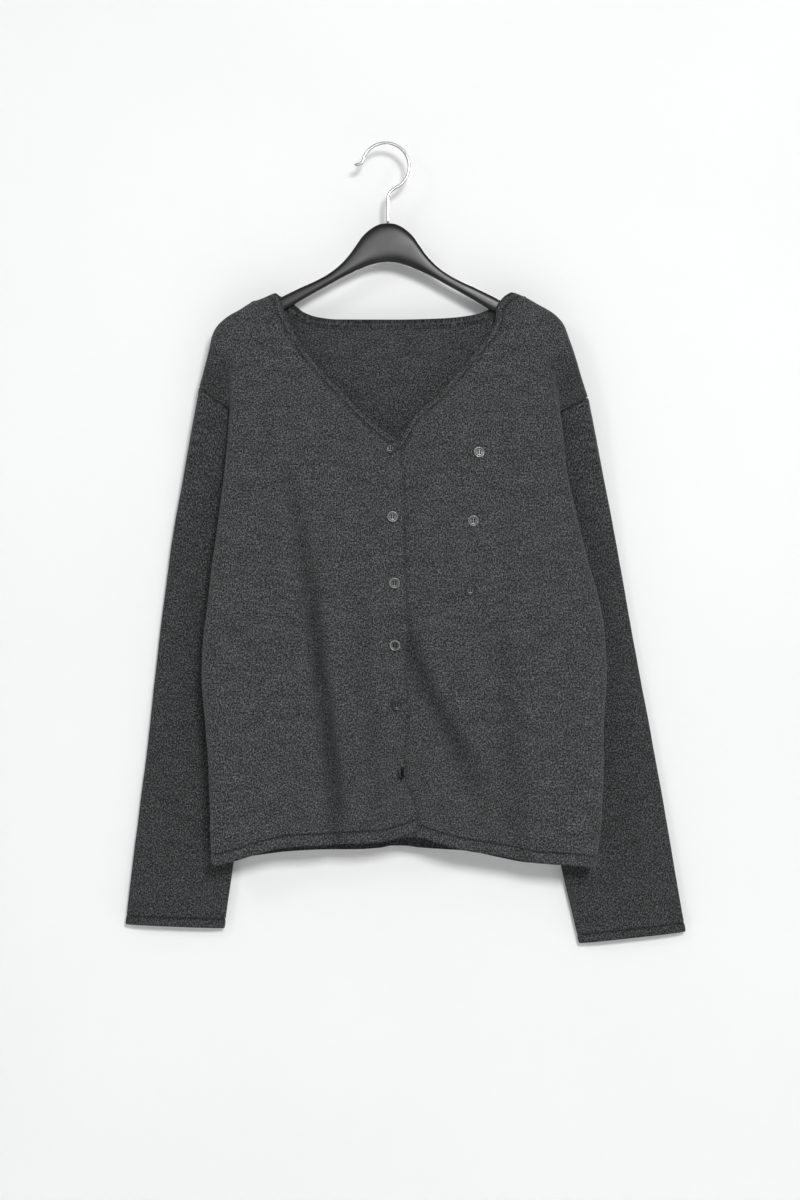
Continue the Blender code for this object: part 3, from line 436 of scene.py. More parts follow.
def fold_shade(panel, x, z):
    """How deep the painted shade lies in the main folds' troughs at a place, from 0 to 1."""
    total = 0.0
    for (where, name), (_, low, at, width, depth) in fold_curves.items():
        if where == panel and (where, name) in SHARPEN:
            w = width(z) * SHARPEN[where, name][1] * 0.8
            total += min(depth(z) / 8.0, 1.0) * math.exp(-(((x - at(z)) / w) ** 2))
    return min(total, 1.0)


# The whole outline as a line of points, for distances from it; it runs on
# down the sleeve's outer edge.
def outline_points(side):
    top = [(outline[side](z), z) for z in np.linspace(-157.0, TIP[side][0], 60)]
    rows = SLEEVES[side]
    return np.array(top + [(r[1], r[0]) for r in rows[:3]])


OUTLINE_LINE = {side: outline_points(side) for side in SIGN}


def inside(side, out, z):
    """The distance of a place from the outline."""
    line = OUTLINE_LINE[side]
    a, b = line[:-1], line[1:]
    p = np.array([out, z])
    d = b - a
    t = np.clip(((p - a) * d).sum(1) / (d * d).sum(1), 0, 1)
    return float(np.linalg.norm(p - a - t[:, None] * d, axis=1).min())


def turned(distance, over=ROUND_OVER):
    """0 at the outline and 1 where the cloth has turned over it."""
    t = 1 - min(distance / over, 1.0)
    return math.sqrt(max(1 - t * t, 0.0))


# ------------------------------------------------------------ the two fronts
def row_end(side, z):
    """How far out a row of the front panel runs."""
    tip_z, tip = TIP[side]
    cross_z, cross = CROSS[side]
    if z >= tip_z:
        return outline[side](z)
    if z >= cross_z:
        return mix(tip, cross, (tip_z - z) / (tip_z - cross_z))
    return mix(cross, panel_end[side](z), ease(cross_z, cross_z - 10, z))


def under(side, x, z):
    """How far the left front drops back to pass under the right one."""
    if side == "right" or z > -296:
        return 0.0
    past = x - front_edge(z)
    return UNDER * ease(-296, -312, z) * (1 - 0.8 * ease(3.0, 24.0, past))


def chest(side, out, z):
    """The front's outer surface before it turns back at its side."""
    x = SIGN[side] * out
    return chest_y(z) + relief(side, x, z) + under(side, x, z)


def front_plain(side, out, z):
    """The front's surface as a depth at a place, from the neck to the tip."""
    f, m = fold_edge[side](z), meet_y(z)
    tucked = ease(-200, -240, z)
    y = mix(chest(side, out, z), drop_y(z), tucked * ease(f - 4.5, f + 2.0, out))
    return m + (y - m) * turned(inside(side, out, z))


def beside(line, offset, sign):
    """A line parallel to a line of places (X, height), to its right or left."""
    d = np.gradient(line, axis=0)
    d /= np.linalg.norm(d, axis=1, keepdims=True)
    return line + offset * sign * np.stack([d[:, 1], -d[:, 0]], axis=1)


V_LINE = {
    side: np.array([(v_edge[side](z), z) for z in np.linspace(-150.0, -346.0, 160)])
    for side in SIGN
}
BAND_INSIDE = {side: beside(V_LINE[side], BAND, -SIGN[side]) for side in SIGN}
PANEL_TOP = {side: beside(V_LINE[side], BAND + 0.3, -SIGN[side]) for side in SIGN}


def row_start(side, z):
    """The X where a row of the front panel begins, at its edge or band."""
    edge = front_edge(z) - (OVERLAP if side == "left" else 0.0)
    line = PANEL_TOP[side]
    if z > line[-1, 1]:
        at = float(np.interp(-z, -line[:, 1], line[:, 0]))
        return min(edge, at) if side == "right" else max(edge, at)
    return edge


CHEST_SHARE = 0.62


def front_point(side, s, level):
    """A point of a front's outer surface: s from its edge to its side."""
    z = level
    start = SIGN[side] * row_start(side, z)
    end = row_end(side, z)
    f = min(fold_edge[side](z), start + 0.72 * max(end - start, 0.1))
    if z < -240:
        f = fold_edge[side](z)
    roll = min(14.0, 0.25 * max(end - start, 0.1))
    if s <= CHEST_SHARE:
        out = mix(start, f - roll, s / CHEST_SHARE)
        y = front_plain(side, out, z) if z > -240 else chest(side, out, z)
    else:
        t = (s - CHEST_SHARE) / (1 - CHEST_SHARE)
        shown = ease(-294, -276, z)
        c = chest(side, f - roll, z)
        b = drop_y(z)
        e = end_y(z)
        # over the step and across the dropped shoulder
        over = [
            (f - roll, c),
            (f - 0.34 * roll, mix(c, b, 0.10)),
            (f - 0.04 * roll, mix(c, b, 0.52)),
            (mix(f, end, 0.10), mix(c, b, 0.94)),
            (mix(f, end, 0.34), b),
            (mix(f, end, 0.62), b),
            (mix(f, end, 0.86), b),
            (end, b),
        ]
        # round the roll and back behind it
        behind = [
            (f - roll, c),
            (f - 0.34 * roll, c + 1.1),
            (f, c + 6.0),
            (f - 0.8, c + 10.5),
            (mix(f, end, 0.42), mix(c + 10.5, e, 0.30)),
            (mix(f, end, 0.66), mix(c + 10.5, e, 0.56)),
            (mix(f, end, 0.86), mix(c + 10.5, e, 0.80)),
            (end, e),
        ]
        pts = [
            (mix(q[0], p[0], shown), mix(q[1], p[1], shown))
            for p, q in zip(over, behind, strict=True)
        ]
        out, y = spline(pts, t)
        if z > -292:
            m = meet_y(z)
            rounded = m + (y - m) * turned(inside(side, out, z))
            y = mix(y, rounded, ease(-290, -278, z))
            if z > -240:
                plain = front_plain(side, out, z)
                y = mix(y, plain, ease(-240, -205, z))
    x = SIGN[side] * out
    drop = ease(HEM_LEVEL + HEM_FADE, HEM_LEVEL, level)
    z = level + (hem_of[side](x) - HEM_LEVEL) * drop
    return (x, y, z)


# ------------------------------------------------------------------ the back
def back_plain(x, z):
    """The back's outer surface as a depth at a place."""
    side = "right" if x < 0 else "left"
    out = abs(x)
    y = BACK_FLAT - relief("back", x, z)
    if z > -420:
        full = back_end_y(z) if z < -254 else mix(BACK_FLAT, 12.6, ease(-205, -254, z))
        edge = back_end[side](z) if z < -254 else outline[side](z)
        gain = ease(edge - 46, edge - 6, out) * max(full - BACK_FLAT, 0.0)
        y += gain
    if z > -292:
        m = meet_y(max(z, -256))
        y = mix(y, m + (y - m) * turned(inside(side, out, z)), ease(-290, -276, z))
    return y


BACK_LENS = -232.0  # above this the rows open out to the shoulders and neck
BACK_TOP_END = -199.0


NECK_LINE = np.array([(x, neck_back(x)) for x in np.linspace(-127.0, 139.0, 200)])
BACK_BAND_INSIDE = beside(NECK_LINE, BAND, 1.0)
BACK_TOP = beside(NECK_LINE, BAND + 0.3, 1.0)


def shoulder(x):
    """The height of the shoulder line."""
    column = 1 if x < 0 else 2
    return track([(r[column], r[0]) for r in OUTLINE], 1)(abs(x))


def back_top(x):
    """The back's upper edge: the shoulder line, and the neck band's inside."""
    if BACK_TOP[0, 0] < x < BACK_TOP[-1, 0]:
        return min(shoulder(x), float(np.interp(x, BACK_TOP[:, 0], BACK_TOP[:, 1])))
    return shoulder(x)


def corner(line):
    """Where a neck line, followed from its upper end, meets the shoulder."""
    for x, z in line:
        if z < shoulder(x):
            return float(x)
    return float(line[-1, 0])


BACK_CORNERS = (corner(BACK_TOP), corner(BACK_TOP[::-1]))


def back_point(u, level):
    """A point of the back's outer surface: u from right to left, 0 to 1."""
    if level > BACK_LENS:
        r = (level - BACK_LENS) / -BACK_LENS  # 0 at the lens's foot, 1 at level 0
        end_z = mix(BACK_LENS, BACK_TOP_END, r)
        a, b = outline["right"](end_z), outline["left"](end_z)
        x = mix(-a, b, u)
        z = mix(BACK_LENS, back_top(x), r)
        return (x, back_plain(x, z), z)
    z = level
    ends = {}
    for side in SIGN:
        if z >= -254:
            ends[side] = outline[side](z)
        elif z >= -418:
            ends[side] = back_end[side](z)
        else:
            ends[side] = row_end(side, z)
    x = mix(-ends["right"], ends["left"], u)
    y = back_plain(x, z)
    rolled = ease(-386, -430, z)
    if rolled > 0:
        side = "right" if x < 0 else "left"
        depth = ends[side] - abs(x)
        seam = meet_y(z) if z < -418 else back_end_y(z)
        y = mix(y, seam + (y - seam) * turned(depth, 20.0), rolled)
    drop = ease(HEM_LEVEL + HEM_FADE, HEM_LEVEL, level)
    return (x, y, level + (hem_of["back"](x) - HEM_LEVEL) * drop)


# --------------------------------------------------------------- the sleeves
# The armhole seam's stations, sixteen round the hole from the tip down the
# front to the underarm and up the back: height on the right and on the left.
SEAM_STATIONS = [
    (0, -255.0, -266.5),
    (1, -262.0, -271.0),
    (2, -270.5, -276.5),
    (3, -279.5, -282.5),
    (4, -290.0, -290.0),
    (5, -306.0, -306.0),
    (6, -334.0, -334.0),
    (7, -363.0, -363.0),
    (8, -378.0, -378.0),
    (9, -366.0, -366.0),
    (10, -344.0, -344.0),
    (11, -320.0, -320.0),
    (12, -302.0, -302.0),
    (13, -284.0, -288.0),
    (14, -270.0, -279.0),
    (15, -262.0, -272.0),
    (16, -255.0, -266.5),
]
seam_height = {"right": track(SEAM_STATIONS, 1), "left": track(SEAM_STATIONS, 2)}
UNDERARM = {"right": (166.4, 15.6), "left": (184.4, 15.6)}


def armhole(side, turn):
    """The sleeve's upper edge: turn 0 at the tip, 0.5 at the underarm."""
    z = seam_height[side](turn * 16)
    if turn <= 0.5:
        x, y, _ = front_point(side, 1.0, max(z, -386))
        out, low = abs(x) + 0.3, 0.35
        y += 1.8 * ease(-281, -302, z)
        out += 1.0 * ease(-281, -302, z)
    else:
        if z > TIP[side][0]:
            out, y = outline[side](z), meet_y(z)
        else:
            out, y = back_end[side](max(z, -386)), back_end_y(max(z, -386))
        y = mix(y, meet_y(z), ease(0.97, 1.0, turn))
        out, low = out + 0.6 + 3.6 * ease(-284, -330, z), 0.35
        y += 1.4 * ease(-320, -366, z)
    # front and back draw together round the underarm
    near = ease(0.43, 0.5, turn) * ease(0.57, 0.5, turn)
    out, y = mix(out, UNDERARM[side][0], near), mix(y, UNDERARM[side][1], near)
    return np.array([out, y, z - low])


def sleeve_section(side, turn, z):
    """A point of a flattened section of the sleeve."""
    rows = SLEEVES[side]
    outer, inner, mid, half, slant = (track(rows, k)(z) for k in (1, 2, 3, 4, 5))
    a, c = (outer - inner) / 2, (outer + inner) / 2
    angle = 2 * math.pi * turn
    across = math.cos(angle)
    thick = (1 - abs(across) ** 2.6) ** 0.5
    y = mid - math.copysign(half * thick, math.sin(angle))
    out = c + a * across
    return np.array([out, y, z + slant * a * across])


SLEEVE_TOP = -432.0


def sleeve_point(side, turn, v):
    """v from 0 to 1 is the head of the sleeve, from 1 to 2 is below it."""
    low = SLEEVES[side][-1][0]
    if v <= 1:
        a = armhole(side, turn)
        b = sleeve_section(side, turn, SLEEVE_TOP)
        after = sleeve_section(side, turn, SLEEVE_TOP - 20)
        reach = np.linalg.norm(b - a)
        t1 = (after - b) / np.linalg.norm(after - b) * reach
        t0 = (b - a) * 0.9
        # the underarm swings back first, then in behind the back panel
        near = ease(0.28, 0.375, turn) * ease(0.72, 0.6, turn)
        t0 += np.array([60.0, 20.0, 0.0]) * near
        p = (
            (2 * v**3 - 3 * v * v + 1) * a
            + (v**3 - 2 * v * v + v) * t0
            + (3 * v * v - 2 * v**3) * b
            + (v**3 - v * v) * t1
        )
    else:
        z = mix(SLEEVE_TOP, low, v - 1)
        p = sleeve_section(side, turn, z)
    return (SIGN[side] * p[0], p[1], p[2])


TOP_LEVEL = {"right": -161.9, "left": -161.2}

# Soft troughs round the sleeves: side, fold, height, share of
# the way from the outer to the inner edge, half width, depth, face (front 1,
# back -1).
SLEEVE_FOLDS = [
    ("right", "inner", -420.0, 0.62, 9.0, 0.6, 1),
    ("right", "inner", -500.0, 0.60, 11.0, 2.0, 1),
    ("right", "inner", -600.0, 0.55, 12.0, 2.4, 1),
    ("right", "inner", -700.0, 0.52, 12.0, 1.6, 1),
    ("right", "inner", -800.0, 0.50, 12.0, 0.8, 1),
    ("right", "back", -420.0, 0.40, 10.0, 0.4, -1),
    ("right", "back", -560.0, 0.46, 13.0, 2.4, -1),
    ("right", "back", -700.0, 0.55, 13.0, 2.0, -1),
    ("right", "back", -800.0, 0.50, 12.0, 0.8, -1),
    ("left", "inner", -420.0, 0.55, 9.0, 0.4, 1),
    ("left", "inner", -520.0, 0.52, 11.0, 1.6, 1),
    ("left", "inner", -640.0, 0.48, 12.0, 2.2, 1),
    ("left", "inner", -740.0, 0.46, 12.0, 1.8, 1),
    ("left", "inner", -820.0, 0.48, 12.0, 0.6, 1),
    ("left", "back", -420.0, 0.42, 10.0, 0.4, -1),
    ("left", "back", -600.0, 0.50, 13.0, 2.6, -1),
    ("left", "back", -800.0, 0.46, 12.0, 1.0, -1),
]

# Hems and stitching.
HEM_DEPTH = 12.5  # the body's hem is turned up this far
CUFF_DEPTH = 9.5
STITCH = 2.6  # pitch of the stitches
THREAD = 0.42  # thickness of the sewing thread

SHELLS = {}


# ------------------------------------------------------------ working on grids
def refined(grid, times, axis, closed=False):
    """Points put in between along one axis, on smooth curves."""
    g = np.moveaxis(np.asarray(grid, float), axis, 0)
    n = len(g)
    if closed:
        t = np.arange(n * times) / times
        i = np.floor(t).astype(int)
        p = [g[(i + k) % n] for k in (-1, 0, 1, 2)]
    else:
        t = np.linspace(0, n - 1, (n - 1) * times + 1)
        i = np.clip(np.floor(t).astype(int), 0, n - 2)
        ends = np.concatenate([[2 * g[0] - g[1]], g, [2 * g[-1] - g[-2]]])
        p = [ends[i + k] for k in (0, 1, 2, 3)]
    s = (t - i)[:, None, None]
    a, b, c, d = p
    out = 0.5 * (
        2 * b
        + (c - a) * s
        + (2 * a - 5 * b + 4 * c - d) * s * s
        + (3 * b - a - 3 * c + d) * s**3
    )
    return np.moveaxis(out, 0, axis)


def facing_of(grid, closed=False):
    """Unit normals of a grid of points; closed joins its second axis."""
    if closed:
        across = np.roll(grid, -1, 1) - np.roll(grid, 1, 1)
    else:
        across = np.gradient(grid, axis=1)
    along = np.gradient(grid, axis=0)
    n = np.cross(across, along)
    return n / np.maximum(np.linalg.norm(n, axis=2, keepdims=True), 1e-9)


def unrolled(grid, upright=False):
    """Where each point lies on the flat cloth, in metres: across and along.

    Upright cloth keeps its columns of stitches plumb however its edge slants.
    """
    across = np.linalg.norm(np.diff(grid, axis=1), axis=2)
    across = np.concatenate([np.zeros((len(grid), 1)), np.cumsum(across, 1)], 1)
    if upright:
        way = np.sign((grid[:, 3, 0] - grid[:, 0, 0]).mean())
        across = across + grid[:, :1, 0] * way
    along = np.linalg.norm(np.diff(grid, axis=0), axis=2)
    along = np.concatenate([np.zeros((1, grid.shape[1])), np.cumsum(along, 0)], 0)
    middle = along.mean(1, keepdims=True)
    return np.stack([across, np.broadcast_to(middle, across.shape)], axis=2) * MM


def hashed(i, j, seed):
    """A number from -1 to 1 for each whole place of a lattice."""
    h = np.sin(i * 127.1 + j * 311.7 + seed * 74.7) * 43758.5453
    return 2 * (h - np.floor(h)) - 1


def uneven(x, z, size, seed):
    """Smooth unevenness from -1 to 1, over the given size in millimetres."""
    x, z = x / size, z / size
    i, j = np.floor(x), np.floor(z)
    s, t = x - i, z - j
    s, t = s * s * (3 - 2 * s), t * t * (3 - 2 * t)
    return (
        hashed(i, j, seed) * (1 - s) * (1 - t)
        + hashed(i + 1, j, seed) * s * (1 - t)
        + hashed(i, j + 1, seed) * (1 - s) * t
        + hashed(i + 1, j + 1, seed) * s * t
    )


def handled(x, z, seed):
    """The slight rumple of cloth that has been worn and hung."""
    return (
        0.55 * uneven(x + 0.3 * z, z * 0.45, 46.0, seed)
        + 0.28 * uneven(x - 0.2 * z, z * 0.7, 21.0, seed + 3)
        + 0.10 * uneven(x, z, 8.0, seed + 7)
    )


def bell(t, centre, width):
    return np.exp(-(((t - centre) / width) ** 2))


def hemmed(height, depth):
    """A turned hem's form: full below the stitches, pinched at them."""
    t = np.clip(height / depth, 0, 1.6)
    full = 0.45 * np.sin(np.pi * np.clip(t, 0, 1)) ** 0.7
    return np.where(t < 1, full, 0.0) - 0.55 * bell(height, depth, 1.1)


# ----------------------------------------------------------------- making pieces
def shell(name, grid, out, mat, thick, closed=False, node=None, uv=None, crease=None):
    """A thin shell of cloth on a grid of outer points in millimetres."""
    rows, cols = grid.shape[:2]
    flat = unrolled(grid) if uv is None else uv
    me = bpy.data.meshes.new(name)
    idx = np.arange(rows * cols).reshape(rows, cols)
    right = np.roll(idx, -1, 1) if closed else idx[:, 1:]
    left = idx if closed else idx[:, :-1]
    a, b, c, d = left[:-1], right[:-1], right[1:], left[1:]
    quads = np.stack([a, b, c, d] if out > 0 else [d, c, b, a], axis=-1).reshape(-1, 4)
    me.from_pydata([tuple(p) for p in grid.reshape(-1, 3) * MM], [], quads.tolist())
    layer = me.uv_layers.new(name="cloth")
    loops = np.empty(len(me.loops), dtype=np.int32)
    me.loops.foreach_get("vertex_index", loops)
    coords = flat.reshape(-1, 2)[loops]
    if closed:
        # the last column of faces wraps back to the first points
        wide = flat[:, -1, 0].max() + np.linalg.norm(grid[:, 0] - grid[:, -1], axis=1).mean() * MM
        col = (loops % cols).reshape(-1, 4)
        wraps = (col == 0) & (col == cols - 1).any(axis=1)[:, None]
        coords[wraps.reshape(-1), 0] = wide
    layer.data.foreach_set("uv", coords.astype(np.float32).reshape(-1))
    # a darkening for each point, read by the knit: pressed stitch lines, and painted shade in folds and beside edges
    wear_and_shade = me.attributes.new("crease", "FLOAT", "POINT")
    if crease is not None:
        values = np.clip(crease, 0, 1).astype(np.float32).reshape(-1)
        wear_and_shade.data.foreach_set("value", values)
    me.materials.append(mat)
    me.shade_smooth()
    ob = bpy.data.objects.new(name, me)
    bpy.context.scene.collection.objects.link(ob)
    if thick:
        mod = ob.modifiers.new("wall", "SOLIDIFY")
        mod.thickness = thick * MM
        mod.offset = -1.0
        mod.use_even_offset = False
    if node:
        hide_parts(node)
    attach(ob, "root")
    SHELLS[name] = (ob, BVHTree.FromPolygons(
        [Vector(p) for p in (grid.reshape(-1, 3) * MM)], quads.tolist()
    ))
    return ob


def plain_mesh(name, points, faces, mats, marks=None, smooth=True, node=None):
    """A mesh piece from points in millimetres."""
    me = bpy.data.meshes.new(name)
    me.from_pydata([tuple(c * MM for c in p) for p in points], [], faces)
    for m in mats:
        me.materials.append(m)
    if marks is not None:
        me.polygons.foreach_set("material_index", marks)
    if smooth:
        me.shade_smooth()
    me.update()
    ob = bpy.data.objects.new(name, me)
    bpy.context.scene.collection.objects.link(ob)
    if node:
        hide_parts(node)
    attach(ob, "root")
    return ob


def touch(name, x, z, from_front=True):
    """The place and normal of a shell at X and height z, in millimetres."""
    ob, tree = SHELLS[name]
    start = Vector((x * MM, -0.4 if from_front else 0.4, z * MM))
    way = Vector((0, 1, 0)) if from_front else Vector((0, -1, 0))
    hit, normal, _, _ = tree.ray_cast(start, way)
    if hit is None:
        return None
    if normal.dot(way) > 0:
        normal = -normal
    return np.array(hit) / MM, np.array(normal)


# ------------------------------------------------------------------- materials
class Graph:
    """Short words for building a node tree."""

    def __init__(self, name):
        self.mat = bpy.data.materials.new(name)
        self.mat.use_nodes = True
        self.tree = self.mat.node_tree
        self.shader = self.tree.nodes["Principled BSDF"]

    def node(self, kind, **values):
        n = self.tree.nodes.new(kind)
        for key, value in values.items():
            setattr(n, key, value)
        return n

    def put(self, socket, value):
        if isinstance(value, bpy.types.NodeSocket):
            self.tree.links.new(value, socket)
        elif value is not None:
            socket.default_value = value

    def math(self, op, a, b=None, c=None, clamp=False):
        n = self.node("ShaderNodeMath", operation=op, use_clamp=clamp)
        for k, v in enumerate((a, b, c)):
            self.put(n.inputs[k], v)
        return n.outputs[0]

    def uv(self, sx=1.0, sy=1.0):
        n = self.node("ShaderNodeUVMap", uv_map="cloth")
        m = self.node("ShaderNodeMapping")
        m.inputs["Scale"].default_value = (sx, sy, 1.0)
        self.put(m.inputs["Vector"], n.outputs[0])
        return m.outputs[0]

    def place(self, sx=1.0, sy=1.0, sz=1.0):
        n = self.node("ShaderNodeTexCoord")
        m = self.node("ShaderNodeMapping")
        m.inputs["Scale"].default_value = (sx, sy, sz)
        self.put(m.inputs["Vector"], n.outputs["Object"])
        return m.outputs[0]

    def noise(self, at, scale, detail=2.0, rough=0.5, distortion=0.0):
        n = self.node("ShaderNodeTexNoise")
        self.put(n.inputs["Vector"], at)
        n.inputs["Scale"].default_value = scale
        n.inputs["Detail"].default_value = detail
        n.inputs["Roughness"].default_value = rough
        n.inputs["Distortion"].default_value = distortion
        return n.outputs["Fac"]

    def cells(self, at, scale):
        n = self.node("ShaderNodeTexVoronoi")
        self.put(n.inputs["Vector"], at)
        n.inputs["Scale"].default_value = scale
        return n

    def ramp(self, value, stops):
        n = self.node("ShaderNodeValToRGB")
        while len(n.color_ramp.elements) < len(stops):
            n.color_ramp.elements.new(0.5)
        for e, (at, colour) in zip(n.color_ramp.elements, stops):
            e.position = at
            e.color = (*colour, 1.0) if len(colour) == 3 else colour
        self.put(n.inputs["Fac"], value)
        return n.outputs["Color"]

    def grade(self, value, a, b, c=0.0, d=1.0):
        n = self.node("ShaderNodeMapRange")
        n.inputs["From Min"].default_value = a
        n.inputs["From Max"].default_value = b
        n.inputs["To Min"].default_value = c
        n.inputs["To Max"].default_value = d
        self.put(n.inputs["Value"], value)
        return n.outputs["Result"]

    def scaled(self, colour, by):
        n = self.node("ShaderNodeVectorMath", operation="SCALE")
        self.put(n.inputs[0], colour)
        self.put(n.inputs["Scale"], by)
        return n.outputs[0]

    def bump(self, height, distance, strength=1.0, normal=None):
        n = self.node("ShaderNodeBump")
        n.inputs["Distance"].default_value = distance
        n.inputs["Strength"].default_value = strength
        self.put(n.inputs["Height"], height)
        if normal is not None:
            self.put(n.inputs["Normal"], normal)
        return n.outputs[0]


def knit(name, tone=1.0, course=0.95, wale=1.15):
    """Brushed melange knit: fine stitches in columns, dark and pale fibres."""
    g = Graph(name)
    at = g.uv()
    # each stitch takes its own lot of dark and pale fibre
    lot = g.grade(g.noise(g.uv(1.0, 0.8), 720.0, 1.0, 0.5, 0.4), 0.34, 0.66)
    fine = g.noise(g.uv(0.9, 1.0), 600.0, 3.0, 0.7)
    blend = g.math("MULTIPLY_ADD", lot, 0.50, g.math("MULTIPLY", fine, 0.64))
    # longer pale hairs lying every way
    hair = g.noise(g.uv(1.0, 0.20), 760.0, 2.0, 0.5, 1.8)
    hair2 = g.noise(g.uv(0.22, 1.0), 720.0, 2.0, 0.5, 2.0)
    hairs = g.math("MAXIMUM", g.grade(hair, 0.60, 0.74), g.grade(hair2, 0.61, 0.75))
    blend = g.math("ADD", blend, g.math("MULTIPLY", hairs, 0.22))
    cloudy = g.noise(g.uv(0.7, 1.3), 60.0, 4.0, 0.6)
    blend = g.math("ADD", blend, g.grade(cloudy, 0.3, 0.7, -0.05, 0.05))
    colour = g.ramp(
        blend,
        [
            (0.32, (0.0125 * tone, 0.0131 * tone, 0.0129 * tone)),
            (0.50, (0.0345 * tone, 0.0364 * tone, 0.0368 * tone)),
            (0.66, (0.0700 * tone, 0.0728 * tone, 0.0745 * tone)),
            (0.92, (0.1750 * tone, 0.1790 * tone, 0.1840 * tone)),
        ],
    )
    # faint drifts of cooler and greener wool
    drift = g.noise(at, 140.0, 3.0, 0.6)
    tint = g.ramp(drift, [(0.32, (1.0, 1.03, 0.955)), (0.5, (1.0, 1.0, 1.0)), (0.68, (0.985, 0.995, 1.06))])
    tinted = g.node("ShaderNodeVectorMath", operation="MULTIPLY")
    g.put(tinted.inputs[0], colour)
    g.put(tinted.inputs[1], tint)
    # pressed and stitched places lose some pale nap, and painted shade darkens the fold troughs, the step at the
    # shoulder and the lines beside edges; all come in through one attribute
    wear_and_shade = g.node("ShaderNodeAttribute", attribute_name="crease")
    shade = g.math("MULTIPLY_ADD", wear_and_shade.outputs["Fac"], -0.72, 1.0)
    g.put(g.shader.inputs["Base Color"], g.scaled(tinted.outputs[0], shade))
    g.put(g.shader.inputs["Roughness"], g.grade(fine, 0.3, 0.7, 0.86, 0.98))
    g.shader.inputs["Specular IOR Level"].default_value = 0.2
    g.shader.inputs["Sheen Weight"].default_value = 0.12
    g.shader.inputs["Sheen Roughness"].default_value = 0.45
    g.shader.inputs["Sheen Tint"].default_value = (0.82, 0.85, 0.87, 1.0)
    # columns of small vees under the nap
    parts = g.node("ShaderNodeSeparateXYZ")
    g.put(parts.inputs[0], at)
    u = g.math("DIVIDE", parts.outputs[0], wale * MM)
    v = g.math("DIVIDE", parts.outputs[1], course * MM)
    side = g.math("ABSOLUTE", g.math("SUBTRACT", g.math("FRACT", u), 0.5))
    lean = g.math("ADD", v, g.math("MULTIPLY", side, 1.5))
    loop = g.math("SINE", g.math("MULTIPLY", lean, 2 * math.pi))
    column = g.math("SINE", g.math("MULTIPLY", side, 2 * math.pi))
    height = g.math("MULTIPLY_ADD", loop, 0.42, g.math("MULTIPLY", column, 0.6))
    nap = g.noise(at, 1500.0, 3.0, 0.6)
    height = g.math("ADD", height, g.math("MULTIPLY", nap, 1.2))
    pilled = g.grade(g.noise(at, 330.0, 3.0, 0.6), 0.35, 0.75)
    height = g.math("ADD", height, g.math("MULTIPLY", pilled, 0.6))
    g.put(g.shader.inputs["Normal"], g.bump(height, 0.00024, 0.6))
    return g.mat


def thread_stuff():
    g = Graph("sewing_thread")
    twist = g.noise(g.place(1.0, 1.0, 0.35), 5200.0, 2.0, 0.5, 0.6)
    g.put(
        g.shader.inputs["Base Color"],
        g.ramp(twist, [(0.3, (0.003, 0.003, 0.0035)), (0.7, (0.014, 0.0145, 0.015))]),
    )
    g.put(g.shader.inputs["Roughness"], g.grade(twist, 0.3, 0.7, 0.75, 0.95))
    g.shader.inputs["Specular IOR Level"].default_value = 0.15
    g.put(g.shader.inputs["Normal"], g.bump(twist, 0.00008, 0.8))
    return g.mat


def resin(name, tone, shine=0.7):
    """Smoky resin with faint swirls, polished."""
    g = Graph(name)
    at = g.place()
    swirl = g.noise(at, 240.0, 4.0, 0.55, 1.4)
    g.put(
        g.shader.inputs["Base Color"],
        g.ramp(
            swirl,
            [
                (0.30, (0.030 * tone, 0.030 * tone, 0.029 * tone)),
                (0.55, (0.060 * tone, 0.060 * tone, 0.060 * tone)),
                (0.80, (0.110 * tone, 0.110 * tone, 0.112 * tone)),
            ],
        ),
    )
    wear_and_shade = g.noise(at, 2600.0, 3.0, 0.6)
    g.put(g.shader.inputs["Roughness"], g.grade(wear_and_shade, 0.3, 0.8, 0.30, 0.44))
    g.shader.inputs["Coat Weight"].default_value = shine
    g.shader.inputs["Coat Roughness"].default_value = 0.12
    g.shader.inputs["IOR"].default_value = 1.56
    g.put(g.shader.inputs["Normal"], g.bump(wear_and_shade, 0.00003, 0.3))
    return g.mat


def moulded():
    """Satin black plastic with a fine moulded grain and rubbed places."""
    g = Graph("moulded_plastic")
    at = g.place()
    grain = g.noise(at, 2400.0, 3.0, 0.6)
    rubbed = g.noise(g.place(1.0, 1.0, 1.0), 34.0, 3.0, 0.6)
    g.put(
        g.shader.inputs["Base Color"],
        g.ramp(rubbed, [(0.30, (0.006, 0.0062, 0.0066)), (0.75, (0.011, 0.0113, 0.0120))]),
    )
    rough = g.math("ADD", g.grade(rubbed, 0.3, 0.7, 0.27, 0.36), g.grade(grain, 0.3, 0.7, -0.03, 0.05))
    g.put(g.shader.inputs["Roughness"], rough)
    g.shader.inputs["Specular IOR Level"].default_value = 0.34
    g.put(g.shader.inputs["Normal"], g.bump(grain, 0.00004, 0.5))
    return g.mat


def plated():
    """Bright plated wire, drawn lengthways, a little dulled."""
    g = Graph("plated_wire")
    drawn = g.noise(g.place(1.0, 1.0, 1.0), 900.0, 3.0, 0.6, 0.3)
    dull = g.noise(g.place(), 120.0, 2.0, 0.5)
    g.put(
        g.shader.inputs["Base Color"],
        g.ramp(dull, [(0.3, (0.42, 0.42, 0.425)), (0.7, (0.52, 0.52, 0.525))]),
    )
    g.shader.inputs["Metallic"].default_value = 1.0
    g.put(g.shader.inputs["Roughness"], g.grade(drawn, 0.3, 0.7, 0.16, 0.30))
    g.put(g.shader.inputs["Normal"], g.bump(drawn, 0.00002, 0.3))
    return g.mat


